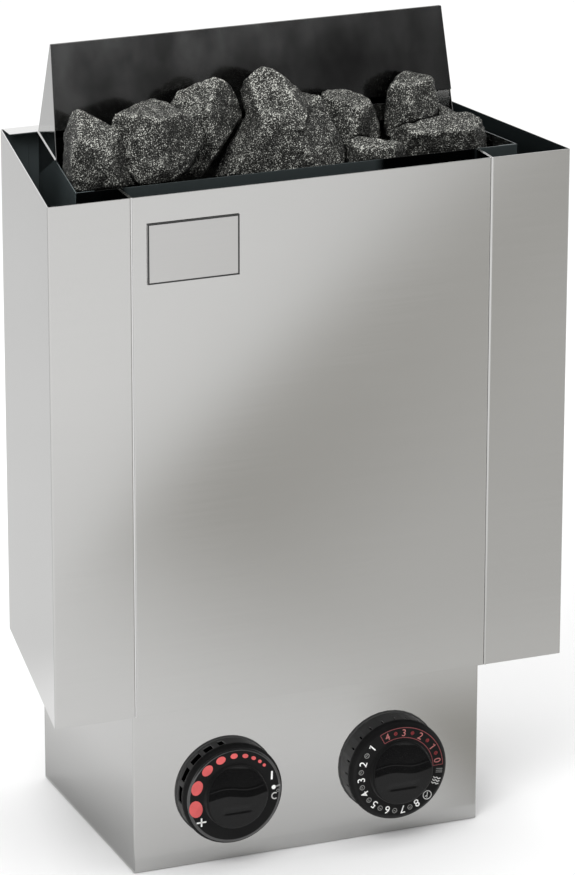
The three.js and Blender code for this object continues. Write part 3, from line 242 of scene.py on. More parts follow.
def plastic(name, colour, roughness, specular, texture=1500.0, depth=0.06, painted_dark_hollow=None):
    """Moulded plastic with a fine spark-eroded texture, painted black as shade inside a hollow of (centre, radius).
    """
    made = Shader(name, Specular_IOR_Level=specular)
    grain = made.clouds(texture, 3.0, 0.6)
    wear = made.clouds(60.0, 4.0, 0.6)
    low, high = tint(colour, 0.85), tint(colour, 1.2)
    shade = made.ramp(wear, [(0.3, low), (0.7, high)])
    if painted_dark_hollow:
        # Painted shade: black with no shine inside the hollow's radius.
        outside = made.fade(made.from_axis(painted_dark_hollow[0]), painted_dark_hollow[1] - 0.2 * MM, painted_dark_hollow[1])
        shade = made.blend(outside, (0.0004, 0.0004, 0.0004, 1), shade)
        made.set(made.surface, {"Specular IOR Level": made.span(outside, 0.0, specular)})
    made.set(made.surface, {"Base Color": shade})
    made.set(made.surface, {"Roughness": made.span(grain, roughness - 0.05, roughness + 0.05)})
    made.relief(grain, depth, 0.0002)
    return made.material


STONE_TINT = (1.0, 1.01, 0.93)


def speckled_stone(name):
    """Dark dense rock: grains from near-black to white, the pale ones most on worn edges and, as a painted
    highlight, on faces turned towards the key light.
    """
    made = Shader(name, Specular_IOR_Level=0.3)
    grain = made.clouds(1350.0, 2.0, 0.6)
    worn = made.span(made.node("ShaderNodeNewGeometry").outputs["Pointiness"], -0.05, 0.07, 0.44, 0.56)
    patches = made.span(made.clouds(130.0, 4.0, 0.65), -0.05, 0.06, 0.3, 0.7)
    # Painted highlight: paler grains on faces turned towards the key light.
    painted_lit_side = made.span(made.facing((-0.35, -0.6, 0.72)), -0.05, 0.04, 0.3, 1.0)
    value = made.maths("ADD", made.maths("ADD", grain, worn), made.maths("ADD", patches, painted_lit_side))
    levels = [(0.41, 0.007), (0.47, 0.019), (0.52, 0.035), (0.57, 0.05), (0.62, 0.105), (0.68, 0.6)]
    made.set(made.surface, {"Base Color": made.ramp(value, [(at, tint(STONE_TINT, v)) for at, v in levels])})
    made.set(made.surface, {"Roughness": made.span(grain, 0.8, 0.4, 0.35, 0.65)})
    rough = made.maths("ADD", made.clouds(420.0, 4.0, 0.65), made.cells(1100.0))
    made.relief(rough, 0.9, 0.0008)
    return made.material


FLANGE_FACE = (0.1185, 0.1215)
POLISHED_INSIDE = ((0.6, 0.63, 0.63), 0.05, 1.0)
MIRROR_INSIDE = ((0.4, 0.42, 0.42), 0.06, 1.0)
MANTLE = steel("mantle_steel", (0.446, 0.444, 0.437), 0.15, inside=POLISHED_INSIDE, spare=FLANGE_FACE,
               painted_top_highlight=(0.85, 0.85, 0.84))
CASING = steel("casing_steel", (0.085, 0.103, 0.106), 0.12, grain=300.0, metal=0.6, inside=MIRROR_INSIDE)
# Painted reflection: the casing's front wall black towards both ends.
FRONT_PAINTED_DARK_ENDS = (-0.144, 0.144, [(0.1, 0.02), (0.115, 1.0), (0.67, 1.0), (0.69, 0.02), (0.9, 0.02), (0.91, 1.0)])
# Painted light: the casing's left wall lighter towards the left.
LEFT_PAINTED_LIGHT = (-0.144, -0.12, [(0.0, 2.2), (0.35, 2.0), (0.5, 1.2), (1.0, 1.0)])


def shadow_corner_line(name, run, fall):
    """The upper rear corner of a wall, cut off by a line from a run along its top to a fall down its end; past the
    line goes painted shadow.
    """
    low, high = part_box(name)
    across = Vector((0, fall, run)).normalized()
    start = across.dot((0, high.y, high.z - fall))
    return across, start, start + 1 * MM


CASING_LEFT = steel("casing_left_steel", (0.085, 0.103, 0.106), 0.12, grain=300.0, metal=0.6,
                    inside=MIRROR_INSIDE, painted_light_ramp=LEFT_PAINTED_LIGHT, painted_shadow_corner=shadow_corner_line("casing_left_wall", 62 * MM, 27 * MM))
BACK_INSIDE = ((0.16, 0.19, 0.195), 0.3, 0.4)
BACK = steel("back_steel", (0.446, 0.444, 0.437), 0.15, inside=BACK_INSIDE, painted_top_highlight=(0.85, 0.85, 0.84))
SIDE_LEFT = steel("side_left_steel", (0.446, 0.444, 0.437), 0.15, inside=BACK_INSIDE, spare=FLANGE_FACE,
                  painted_top_highlight=(0.85, 0.85, 0.84))
CASING_FRONT = steel("casing_front_steel", (0.085, 0.103, 0.106), 0.12, grain=300.0, metal=0.6,
                     inside=MIRROR_INSIDE, painted_light_ramp=FRONT_PAINTED_DARK_ENDS)
# Painted light and shade: the guard lighter at the left, darker at the right.
GUARD_PAINTED_LIGHT = (-0.13, 0.13, [(0.02, 1.7), (0.1, 1.3), (0.3, 1.2), (0.8, 0.68)])
GUARD = reflection_painted_steel("guard_steel", (0.36, 0.362, 0.36), 0.14, GUARD_PAINTED_LIGHT, (0.482, 0.505, 0.5))
# Painted shade: the chamber's rear wall dark towards its left end.
CHAMBER_PAINTED_SHADE = (-0.13, 0.13, [(0.1, 0.05), (0.85, 1.0)])
CHAMBER = reflection_painted_steel("chamber_steel", (0.85, 0.85, 0.83), 0.2, CHAMBER_PAINTED_SHADE, (0.3, 0.4, 0.3))
GUARD_END = steel("guard_end_steel", (0.315, 0.315, 0.311), 0.1)
PLATE = steel("plate_metal", (0.5, 0.497, 0.492), 0.3, grain=1500.0)
# Pale matt steel for the left seam: a painted highlight.
SEAM_HIGHLIGHT = steel("seam_highlight_steel", (0.55, 0.55, 0.546), 0.5, metal=0.1)
ZINC = steel("zinc_steel", (0.5, 0.51, 0.52), 0.42, grain=60.0, swing=0.12)
ELEMENT = steel("element_steel", (0.12, 0.11, 0.105), 0.5, grain=80.0, swing=0.2)
COPPER = steel("copper", (0.66, 0.36, 0.22), 0.32, grain=300.0)
STONE = speckled_stone("stone")
DIAL = plastic("dial_plastic", (0.006, 0.006, 0.0061), 0.5, 0.1)
GLOSSY_SHOULDER = plastic("thermostat_shoulder", (0.005, 0.005, 0.0051), 0.18, 1.0)
DULL_SHOULDER = plastic("timer_shoulder", (0.005, 0.005, 0.0051), 0.3, 0.15)
GRIP = plastic("dial_grip", (0.003, 0.003, 0.0031), 0.26, 0.22)
BUTTON = plastic("button_plastic", (0.42, 0.02, 0.018), 0.3, 0.5)
CERAMIC = plastic("switch_ceramic", (0.72, 0.69, 0.62), 0.6, 0.35, texture=500.0, depth=0.1)
SLEEVE = plastic("lead_sleeve", (0.2, 0.05, 0.025), 0.75, 0.2, texture=700.0, depth=0.4)
WHITE_INK = plastic("white_ink", (0.8, 0.8, 0.79), 0.55, 0.2)
CORAL_INK = plastic("coral_ink", (0.58, 0.1, 0.1), 0.55, 0.2)
RED_INK = plastic("red_ink", (0.36, 0.125, 0.12), 0.55, 0.2)
FRAME_INK = plastic("frame_ink", (0.19, 0.047, 0.05), 0.55, 0.2)
DULL_RED_INK = plastic("dull_red_ink", (0.2, 0.025, 0.028), 0.55, 0.2)
PALE_INK = plastic("pale_ink", (0.5, 0.5, 0.49), 0.55, 0.2)
GREY_INK = plastic("grey_ink", (0.2, 0.2, 0.195), 0.55, 0.2)
KEYLINE_INK = plastic("keyline_ink", (0.03, 0.03, 0.03), 0.5, 0.2)

SLOT_MATERIALS = {
    "mantle_steel": MANTLE, "casing_steel": CASING, "plate_metal": PLATE, "zinc_steel": ZINC,
    "element_steel": ELEMENT, "copper": COPPER, "stone": STONE, "dial_plastic": DIAL,
    "button_plastic": BUTTON, "switch_ceramic": CERAMIC, "lead_sleeve": SLEEVE,
}


# Pieces
def evaluated(obj):
    graph = bpy.context.evaluated_depsgraph_get()
    return bpy.data.meshes.new_from_object(obj.evaluated_get(graph))


def bake_modifiers(obj):
    """Leaves the object with the mesh that its modifiers make."""
    baked = evaluated(obj)
    obj.modifiers.clear()
    obj.data = baked


def modify(obj, kind, **settings):
    made = obj.modifiers.new(kind.lower(), kind)
    for key, value in settings.items():
        setattr(made, key, value)
    return made


def piece(name, mesh, material, body):
    made = bpy.data.objects.new(name, mesh)
    scene.collection.objects.link(made)
    if made.data.materials:
        made.data.materials[0] = material
    else:
        made.data.materials.append(material)
    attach(made, body)
    return made


def smooth(mesh, angle=math.radians(35)):
    mesh.polygons.foreach_set("use_smooth", [True] * len(mesh.polygons))
    mesh.set_sharp_from_angle(angle=angle)


def mesh_from(name, build):
    """A mesh written by a function that gets an empty bmesh."""
    work = bmesh.new()
    build(work)
    bmesh.ops.recalc_face_normals(work, faces=work.faces)
    mesh = bpy.data.meshes.new(name)
    work.to_mesh(mesh)
    work.free()
    return mesh


# Finishes and softened edges on the carried-over nodes
EDGE_ROUND = 0.18 * MM
for subpart in frame["record"]["subparts"]:
    node = nodes[subpart["node"]]
    node.data.materials.clear()
    node.data.materials.append(SLOT_MATERIALS[subpart["material_slot"]])


for name, finish in {
    "guard_front_plate": GUARD, "guard_back_plate": GUARD_END, "guard_end_left": GUARD_END,
    "guard_end_right": GUARD_END, "casing_front_wall": CASING_FRONT, "casing_left_wall": CASING_LEFT,
    "chamber_rear_wall": CHAMBER, "back_panel": BACK, "side_panel_left": SIDE_LEFT,
}.items():
    nodes[name].data.materials[0] = finish
BEZEL_WALL = 31.8 * MM


def axis_of(name):
    """Where the axis of a round node passes, as (x, z)."""
    low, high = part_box(name)
    return (low.x + high.x) / 2, (low.z + high.z) / 2


for name in ("thermostat_bezel", "timer_bezel"):
    nodes[name].data.materials[0] = plastic(
        f"{name}_plastic", (0.028, 0.0282, 0.0282), 0.42, 0.4, painted_dark_hollow=(axis_of(name), BEZEL_WALL))


def soften(name, width=EDGE_ROUND):
    node = nodes[name]
    node.data.polygons.foreach_set("use_smooth", [True] * len(node.data.polygons))
    modify(node, "WELD", merge_threshold=1e-6)
    modify(node, "DECIMATE", decimate_type="DISSOLVE", angle_limit=math.radians(0.3))
    modify(node, "BEVEL", width=width, segments=2, limit_method="ANGLE", angle_limit=math.radians(40))
    modify(node, "WEIGHTED_NORMAL", weight=100)


SHEETS = [
    "front_panel", "side_panel_left", "side_panel_right", "back_panel", "name_plate",
    "casing_front_wall", "casing_left_wall", "casing_right_wall", "casing_rear_wall", "chamber_rear_wall",
    "guard_front_plate", "guard_back_plate", "guard_end_left", "guard_end_right",
    "control_box_shell", "control_box_top", "bottom_cover", "wall_rack", "lower_spacer", "bulb_clip",
]
for name in SHEETS:
    soften(name)


# Stones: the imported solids, remeshed, worn round at the edges, chipped and roughened
ROCK_VOXEL = 1.25 * MM
BED_VOXEL = 4 * MM


def rock(node, seed, voxel):
    made = piece(node.replace("stone", "rock"), evaluated(nodes[node]), STONE, "heater")
    modify(made, "WELD", merge_threshold=1e-6)
    modify(made, "REMESH", mode="VOXEL", voxel_size=voxel)
    modify(made, "SMOOTH", factor=0.6, iterations=5)
    bake_modifiers(made)
    mesh = made.data
    shift = Vector((1.7, 0.9, 2.3)) * seed
    moved = []
    for vertex in mesh.vertices:
        spot = vertex.co + shift
        swell = noise.fractal(spot * 42, 1.0, 2.1, 3)
        chip = noise.voronoi(spot * 90)[0]
        grit = noise.fractal(spot * 330, 0.8, 2.1, 2)
        lift = 0.9 * swell + 1.6 * min(chip[1] - chip[0], 0.4) + 0.28 * grit - 0.55
        moved.append(vertex.co + vertex.normal * (lift * MM))
    for vertex, spot in zip(mesh.vertices, moved):
        vertex.co = spot
    smooth(mesh, math.radians(60))
    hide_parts(node)
    return made


for number in range(1, 13):
    rock(f"stone_{number:02d}", number, ROCK_VOXEL)
rock("stone_bed", 13, BED_VOXEL)


# Dials
DIAL_RADIUS = 33.0
DIAL_ROUND = 4.0
DIAL_DEPTH = 6.0
GRIP_RADIUS = 20.5
GRIP_HEIGHT = 7.2
GRIP_DOME = 0.8
GRIP_ROUND = 1.6
RIDGE_RISE = 1.2
RIDGE_SWAY = 1.15
RIDGE_HALF_WAVE = 16.2
FLANK_WIDTH = 5.2
FLANK_DEPTH = 2.1
UPPER_SLOPE = 0.27
LIP_HEIGHT = 0.25
LIP_WIDTH = 0.5
LENS_TOP = -3.6
LENS_FALL = 4.8
LENS_FOOT = -10.8
LENS_RISE = 2.4
LENS_HALF = 13.0
LENS_DEPTH = 0.75
GRIP_FOOT = 1.15
SPOKES = 240
GLOSS_RINGS = (7, 10)


def ease(value):
    value = min(max(value, 0.0), 1.0)
    return value * value * (3 - 2 * value)


def grip_height(across, up):
    """Height of the grip over the dial face: a low dome that an S-shaped ridge steps down towards the top."""
    reach = math.hypot(across, up)
    ridge = RIDGE_RISE - RIDGE_SWAY * math.sin(math.pi * across / RIDGE_HALF_WAVE)
    above = up - ridge
    crest = GRIP_HEIGHT - GRIP_DOME * (reach / GRIP_RADIUS) ** 2
    if above > 0:
        flank = min(above / FLANK_WIDTH, 1.0)
        rounded = flank * flank / 0.3 if flank < 0.15 else flank - 0.075
        crest -= FLANK_DEPTH * rounded / 0.925 + UPPER_SLOPE * max(above - FLANK_WIDTH, 0.0)
        crest += LIP_HEIGHT * math.exp(-((above - FLANK_WIDTH) / LIP_WIDTH) ** 2)
    else:
        crest += 0.05 * above
        lens = ease((LENS_TOP - up) / LENS_FALL) * ease((up - LENS_FOOT) / LENS_RISE)
        crest -= LENS_DEPTH * lens * ease((LENS_HALF - abs(across)) / 6.0)
    edge = max(0.0, (reach - (GRIP_RADIUS - GRIP_ROUND)) / GRIP_ROUND)
    drop = min(GRIP_ROUND, max(crest - GRIP_FOOT, 0.0))
    return max(crest - drop * (1 - math.sqrt(max(0.0, 1 - edge ** 2))), GRIP_FOOT)


def dial_profile():
    """(radius, height) of the rings outside the grip, from its foot to the back of the dial."""
    foot = [(0.15, 1.1), (0.35, 0.45), (0.75, 0.12), (1.3, 0.0)]
    rings = [(GRIP_RADIUS + out, height) for out, height in foot]
    flat = DIAL_RADIUS - DIAL_ROUND
    rings += [(flat - 4.6, 0.0), (flat - 0.4, 0.0)]
    for i in range(11):
        turn = math.pi / 2 * i / 10
        rings.append((flat + DIAL_ROUND * math.sin(turn), -DIAL_ROUND * (1 - math.cos(turn))))
    rings += [(DIAL_RADIUS, -DIAL_ROUND - 0.5), (DIAL_RADIUS, 0.5 - DIAL_DEPTH), (DIAL_RADIUS - 0.4, -DIAL_DEPTH)]
    return rings


def dial_mesh(name, centre, face):
    stations = [GRIP_RADIUS * i / 60 for i in range(1, 58)]
    stations += [GRIP_RADIUS - gap for gap in (0.75, 0.45, 0.2, 0.06, 0.0)]
    angles = [2 * math.pi * i / SPOKES for i in range(SPOKES)]
    skirt = dial_profile()

    def build(work):
        def point(radius, angle, height):
            across, up = radius * math.cos(angle) * MM, radius * math.sin(angle) * MM
            return work.verts.new((centre[0] + across, face - height * MM, centre[1] + up))

        rings = [[point(r, a, grip_height(r * math.cos(a), r * math.sin(a))) for a in angles] for r in stations]
        rings += [[point(r, a, h) for a in angles] for r, h in skirt]
        middle = point(0.0, 0.0, grip_height(0.0, 0.0))
        for i in range(SPOKES):
            work.faces.new((middle, rings[0][i], rings[0][(i + 1) % SPOKES])).material_index = 2
        shoulder = range(len(stations) + GLOSS_RINGS[0], len(stations) + GLOSS_RINGS[1])
        for number, (inner, outer) in enumerate(zip(rings, rings[1:])):
            for i in range(SPOKES):
                k = (i + 1) % SPOKES
                made = work.faces.new((inner[i], outer[i], outer[k], inner[k]))
                made.material_index = 1 if number in shoulder else 2 if number < len(stations) - 6 else 0
        work.faces.new(rings[-1])

    mesh = mesh_from(name, build)
    smooth(mesh, math.radians(50))
    return mesh


INK_LIFT = 0.05
INK_DEPTH = 0.06


class Print:
    """Flat marks on a dial, in millimetres round its axis, gathered into one mesh."""

    def __init__(self):
        self.work = bmesh.new()

    def fill(self, outline):
        """A thin closed slab under an outline of (across, up) points."""
        top = [self.work.verts.new((u, -INK_LIFT, v)) for u, v in outline]
        low = [self.work.verts.new((u, INK_DEPTH - INK_LIFT, v)) for u, v in outline]
        self.work.faces.new(top)
        self.work.faces.new(low[::-1])
        for i in range(len(outline)):
            k = (i + 1) % len(outline)
            self.work.faces.new((top[k], top[i], low[i], low[k]))

    def oval(self, angle, radius, along, across, steps=28):
        """An oval on the dial's ring, its long axis along the ring."""
        place = Matrix.Rotation(math.radians(angle - 90), 2)
        self.fill([
            place @ Vector((along / 2 * math.cos(t), radius + across / 2 * math.sin(t)))
            for t in (2 * math.pi * i / steps for i in range(steps))
        ])

    def stroke(self, points, width):
        """A line of even width through the points."""
        points = [Vector(p) for p in points]
        left, right = [], []
        for i, spot in enumerate(points):
            run = (points[min(i + 1, len(points) - 1)] - points[max(i - 1, 0)]).normalized()
            side = Vector((-run.y, run.x)) * width / 2
            left.append(spot + side)
            right.append(spot - side)
        self.fill(left + right[::-1])

    def arc(self, radius, start, end, width):
        steps = max(6, int(abs(end - start) / 3))
        turns = [math.radians(start + (end - start) * i / steps) for i in range(steps + 1)]
        self.stroke([(radius * math.cos(t), radius * math.sin(t)) for t in turns], width)

    def ring(self, angle, radius, size, width):
        """A small circle drawn on the dial's ring."""
        turn = math.radians(angle)
        middle = Vector((radius * math.cos(turn), radius * math.sin(turn)))
        turns = [2 * math.pi * i / 24 for i in range(25)]
        for first, second in zip(turns, turns[1:]):
            self.stroke([middle + Vector((math.cos(t), math.sin(t))) * size for t in (first, second)], width)

    def open_ring(self, angle, radius, size, width, gap):
        """A small circle on the dial's ring, open over a gap on each side of the right-hand point."""
        turn = math.radians(angle)
        middle = Vector((radius * math.cos(turn), radius * math.sin(turn)))
        turns = [math.radians(gap + (360 - 2 * gap) * i / 18) for i in range(19)]
        self.stroke([middle + Vector((math.cos(t), math.sin(t))) * size for t in turns], width)

    def marks(self, angle, radius, lines, width, size=1.0):
        """Strokes given in a small frame on the ring, x along it and y outwards."""
        place = Matrix.Rotation(math.radians(angle - 90), 2)
        for line in lines:
            self.stroke([place @ (Vector((0, radius)) + Vector(p) * size) for p in line], width)

    def digit(self, text, angle, radius, height, weight=0.0):
        """A numeral whose top points outwards, its strokes made bolder by the weight on each side."""
        curve = bpy.data.curves.new("numeral", "FONT")
        curve.body = text
        curve.size = height / 0.72
        curve.align_x = "CENTER"
        curve.extrude = INK_DEPTH / 2
        curve.offset = weight
        holder = bpy.data.objects.new("numeral", curve)
        scene.collection.objects.link(holder)
        bpy.context.view_layer.update()
        mesh = evaluated(holder)
        bpy.data.objects.remove(holder)
        stand = Matrix.Rotation(math.radians(90), 4, "X")
        lift = Matrix.Translation((0, INK_DEPTH / 2 - INK_LIFT, radius - height / 2))
        turn = Matrix.Rotation(math.radians(90 - angle), 4, "Y")
        mesh.transform(turn @ lift @ stand)
        self.work.from_mesh(mesh)
        bpy.data.meshes.remove(mesh)

    def finish(self, name, centre, face, material, body):
        bmesh.ops.remove_doubles(self.work, verts=self.work.verts, dist=1e-4)
        bmesh.ops.recalc_face_normals(self.work, faces=self.work.faces)
        mesh = bpy.data.meshes.new(name)
        self.work.to_mesh(mesh)
        self.work.free()
        mesh.transform(Matrix.Translation((centre[0], face, centre[1])) @ Matrix.Scale(MM, 4))
        made = piece(name, mesh, material, body)
        made.visible_glossy = False


def dial(label, shoulder):
    """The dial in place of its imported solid, and where its prints go."""
    node = f"{label}_knob"
    low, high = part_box(node)
    centre = axis_of(node)
    face = low.y + GRIP_HEIGHT * MM
    made = piece(f"{label}_cap", dial_mesh(node, centre, face), DIAL, f"{label}_dial")
    made.data.materials.append(shoulder)
    made.data.materials.append(GRIP)
    made.visible_glossy = False
    nodes[f"{label}_bezel"].visible_glossy = False
    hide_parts(node)
    return centre, face, f"{label}_dial"


def thermostat_prints():
    centre, face, body = dial("thermostat", GLOSSY_SHOULDER)
    coral = Print()
    dots = [(192, 11.4, 8.8), (161, 9.8, 7.4), (133, 8.0, 6.0), (110, 6.4, 4.9), (90.5, 4.8, 3.5),
            (74, 4.0, 2.8), (61, 3.2, 2.4), (50, 2.6, 2.2), (41, 2.3, 2.0)]
    for angle, along, across in dots:
        coral.oval(angle, 26.3, along, across)
    coral.finish("thermostat_dots", centre, face, CORAL_INK, body)
    white = Print()
    plus = Vector((26.6 * math.cos(math.radians(214)), 26.6 * math.sin(math.radians(214))))
    for run in (Vector((3.2, 0)), Vector((0, 2.8))):
        white.stroke([plus - run, plus + run], 1.0)
    minus = Vector((26.7 * math.cos(math.radians(21)), 26.7 * math.sin(math.radians(21))))
    white.stroke([minus + Vector((-0.1, -2.8)), minus + Vector((0.1, 2.8))], 1.2)
    white.oval(3, 26.2, 2.8, 2.8)
    white.finish("thermostat_marks", centre, face, WHITE_INK, body)
    pale = Print()
    pale.open_ring(350.5, 27.3, 2.0, 0.75, 55)
    pale.finish("thermostat_unit", centre, face, PALE_INK, body)
    grey = Print()
    turn = math.radians(3)
    grey.stroke([(27.4 * math.cos(turn), 27.4 * math.sin(turn) + 0.1), (30.4, 2.3)], 1.1)
    grey.ring(357.5, 29.0, 0.8, 0.5)
    grey.finish("thermostat_symbols", centre, face, GREY_INK, body)


def timer_prints():
    centre, face, body = dial("timer", DULL_SHOULDER)
    white = Print()
    white.marks(135, 26.4, [[(-1.3, 1.3), (0.2, 2.5), (0.2, -2.6)]], 0.85)
    for text, angle in zip("2345678", (161, 184.5, 206.5, 229, 251.5, 275, 297)):
        white.digit(text, angle, 26.4, 5.2, 0.02)
    white.finish("timer_hours", centre, face, WHITE_INK, body)
    grey = Print()
    for angle in (148, 173, 195.5, 218, 240, 263, 286):
        grey.ring(angle, 26.4, 1.5, 0.5)
        grey.marks(angle, 26.4, [[(-0.8, 0.6), (0, 0), (0.9, 0.3)]], 0.45)
    steam_base = [[(-1.1, -2.2), (-1.1, 2.2)], [(0.1, -2.2), (0.1, 2.2)], [(1.3, -2.2), (1.3, 2.2)]]
    grey.marks(353, 27.2, steam_base, 0.4)
    grey.finish("timer_symbols", centre, face, GREY_INK, body)
    pale = Print()
    pale.ring(315, 26.9, 2.8, 0.55)
    pale.marks(315, 26.9, [[(-1.6, -1.4), (0, 0), (1.4, 1.1)], [(0, 0), (1.7, -0.4)]], 0.5)
    wave = [(0, -2.9), (0.8, -1.7), (0, -0.4), (0.8, 0.9), (0, 2.3)]
    pale.marks(338, 27.0, [[(x + shift, y) for x, y in wave] for shift in (-2.2, -0.4, 1.4)], 0.7)
    pale.finish("timer_icons", centre, face, PALE_INK, body)
    border = Print()
    inner, outer, start, end = 22.8, 29.4, 117.0, 1.0
    for radius in (inner, outer):
        border.arc(radius, start, end, 0.42)
    for angle in (start, end):
        turn = math.radians(angle)
        run = Vector((math.cos(turn), math.sin(turn)))
        border.stroke([run * inner, run * outer], 0.42)
    border.finish("timer_border", centre, face, FRAME_INK, body)
    red = Print()
    for text, angle in zip("4320", (109, 84, 57.5, 8)):
        red.digit(text, angle, 26.1, 4.7, 0.01)
    red.marks(31, 26.1, [[(-1.1, 1.2), (0.2, 2.2), (0.2, -2.4)]], 0.7)
    red.finish("timer_minutes", centre, face, RED_INK, body)
    dull = Print()
    for angle in (96.5, 71, 44, 19.5):
        dull.ring(angle, 26.1, 0.9, 0.6)
        dull.marks(angle, 26.1, [[(0, -1.4), (0, 1.4)]], 0.5)
    dull.finish("timer_minute_marks", centre, face, DULL_RED_INK, body)


thermostat_prints()
timer_prints()


# Thermostat bezel with deep windows round its neck
NECK_RADIUS = 32.5
BEZEL_RADIUS = 33.5
BEZEL_BORE = 12.0
BEZEL_LIP = 1.8
WINDOWS = [(99, 3.8), (115, 5.2), (132.6, 7.0), (153.5, 8.0), (177, 9.6)]
WINDOW_TOP = 0.6
WINDOW_HEIGHT = 6.3
WINDOW_DEPTH = 4.0
FACET = 5.0


def windowed_bezel(node):
    """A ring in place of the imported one: cells round the neck stand at the neck's radius or sunk to a window's."""
    low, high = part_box(node)
    centre = axis_of(node)
    levels = [low.y, low.y + WINDOW_TOP * MM, low.y + (WINDOW_TOP + WINDOW_HEIGHT) * MM, high.y - BEZEL_LIP * MM, high.y]
    edges = [middle + side * half for middle, half in WINDOWS for side in (-1, 1)]
    angles, sunk = [], []
    for number, (start, end) in enumerate(zip(edges, edges[1:] + [edges[0] + 360])):
        steps = math.ceil((end - start) / FACET)
        angles += [math.radians(start + (end - start) * k / steps) for k in range(steps)]
        sunk += [number % 2 == 0] * steps
    count = len(angles)

    def build(work):
        made = {}

        def spot(turn, level, radius):
            key = (turn % count, level, radius)
            if key not in made:
                angle = angles[turn % count]
                made[key] = work.verts.new((
                    centre[0] + radius * math.cos(angle) * MM, levels[level], centre[1] + radius * math.sin(angle) * MM))
            return made[key]

        def radius_of(turn, band):
            if band == 3:
                return BEZEL_RADIUS
            return NECK_RADIUS - WINDOW_DEPTH if band == 1 and sunk[turn % count] else NECK_RADIUS

        def floor(turn, level, first, second):
            if first != second:
                work.faces.new((spot(turn, level, first), spot(turn + 1, level, first),
                                spot(turn + 1, level, second), spot(turn, level, second)))

        for turn in range(count):
            for band in range(4):
                here, beside = radius_of(turn, band), radius_of(turn + 1, band)
                work.faces.new((spot(turn, band, here), spot(turn + 1, band, here),
                                spot(turn + 1, band + 1, here), spot(turn, band + 1, here)))
                if here != beside:
                    work.faces.new((spot(turn + 1, band, here), spot(turn + 1, band, beside),
                                    spot(turn + 1, band + 1, beside), spot(turn + 1, band + 1, here)))
                if band < 3:
                    floor(turn, band + 1, here, radius_of(turn, band + 1))
            floor(turn, 0, NECK_RADIUS, BEZEL_BORE)
            floor(turn, 4, BEZEL_RADIUS, BEZEL_BORE)
            work.faces.new((spot(turn, 0, BEZEL_BORE), spot(turn + 1, 0, BEZEL_BORE),
                            spot(turn + 1, 4, BEZEL_BORE), spot(turn, 4, BEZEL_BORE)))

    mesh = mesh_from(node, build)
    smooth(mesh)
    made = piece(node.replace("bezel", "collar"), mesh, nodes[node].data.materials[0], "heater")
    made.visible_glossy = False
    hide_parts(node)


windowed_bezel("thermostat_bezel")


# Keyline round the bare name plate
def plate_keyline():
    low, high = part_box("name_plate")
    inset, width, lift = 0.1 * MM, 1.0 * MM, 0.02 * MM

    def build(work):
        front, back = low.y - lift, low.y + lift
        outer = (low.x + inset, high.x - inset, low.z + inset, high.z - inset)
        inner = (outer[0] + width, outer[1] - width, outer[2] + width, outer[3] - width)
        loops = []
        for y in (front, back):
            for x0, x1, z0, z1 in (outer, inner):
                loops.append([work.verts.new((x, y, z)) for x, z in ((x0, z0), (x1, z0), (x1, z1), (x0, z1))])
        for first, second in ((0, 1), (1, 3), (3, 2), (2, 0)):
            for i in range(4):
                k = (i + 1) % 4
                work.faces.new((loops[first][i], loops[first][k], loops[second][k], loops[second][i]))

    piece("name_plate_keyline", mesh_from("name_plate_keyline", build), KEYLINE_INK, "heater")


plate_keyline()


# Seams: the side panels' turned edges along the front panel
def seam(name, section, finish):
    """A closed strip with a section of (x, y) points, as tall as the side panels."""
    low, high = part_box("side_panel_left")

    def build(work):
        ends = [[work.verts.new((x, y, z)) for x, y in section] for z in (low.z, high.z)]
        work.faces.new(ends[0])
        work.faces.new(ends[1])
        for i in range(len(section)):
            k = (i + 1) % len(section)
            work.faces.new((ends[0][i], ends[0][k], ends[1][k], ends[1][i]))

    piece(name, mesh_from(name, build), finish, "heater")


def seams():
    low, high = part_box("front_panel")
    edge, face = high.x, low.y

    def section(side, *points):
        return [(side * (edge + out * MM), face - proud * MM) for out, proud in points]

    seam("seam_right", section(1, (-0.25, 0.02), (0.8, 0.4), (0.95, 0.35), (0.95, -0.4), (-0.25, -0.4)), MANTLE)
    # The left seam's pale matt strip is a painted highlight along the bend.
    seam("seam_left", section(-1, (-0.2, -0.02), (0.6, -0.1), (0.6, -0.4), (-0.2, -0.4)), SEAM_HIGHLIGHT)


seams()


# Guard: turned feet under the end plates, and a strip that closes the air slot at the right
def run_along(name, section, start, end, material):
    """A closed strip between two points, with a section of (out, up) points to the left of its run."""
    ahead = (end - start).normalized()
    out = Vector((-ahead.y, ahead.x, 0))

    def build(work):
        ends = [[work.verts.new(spot + out * u + Vector((0, 0, v))) for u, v in section] for spot in (start, end)]
        work.faces.new(ends[0])
        work.faces.new(ends[1])
        for i in range(len(section)):
            k = (i + 1) % len(section)
            work.faces.new((ends[0][i], ends[0][k], ends[1][k], ends[1][i]))

    piece(name, mesh_from(name, build), material, "heater")


FOOT_SECTION = [(0.02, 0.05), (0.75, 0.1), (0.75, 0.35), (0.02, 1.25)]


def guard_foot(side):
    """A bead along the outer lower edge of an end plate."""
    node = nodes[f"guard_end_{side}"]
    low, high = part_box(node.name)
    sign = -1 if side == "left" else 1
    edge = [v.co for v in node.data.vertices if v.co.z < low.z + 0.1 * MM]
    ends = [max((spot for spot in edge if abs(spot.y - y) < 3 * MM), key=lambda spot: sign * spot.x)
            for y in (low.y, high.y)]
    start, end = ends if side == "left" else ends[::-1]
    section = [(out * MM, up * MM) for out, up in FOOT_SECTION]
    run_along(f"guard_foot_{side}", section, start.copy(), end.copy(), MANTLE)


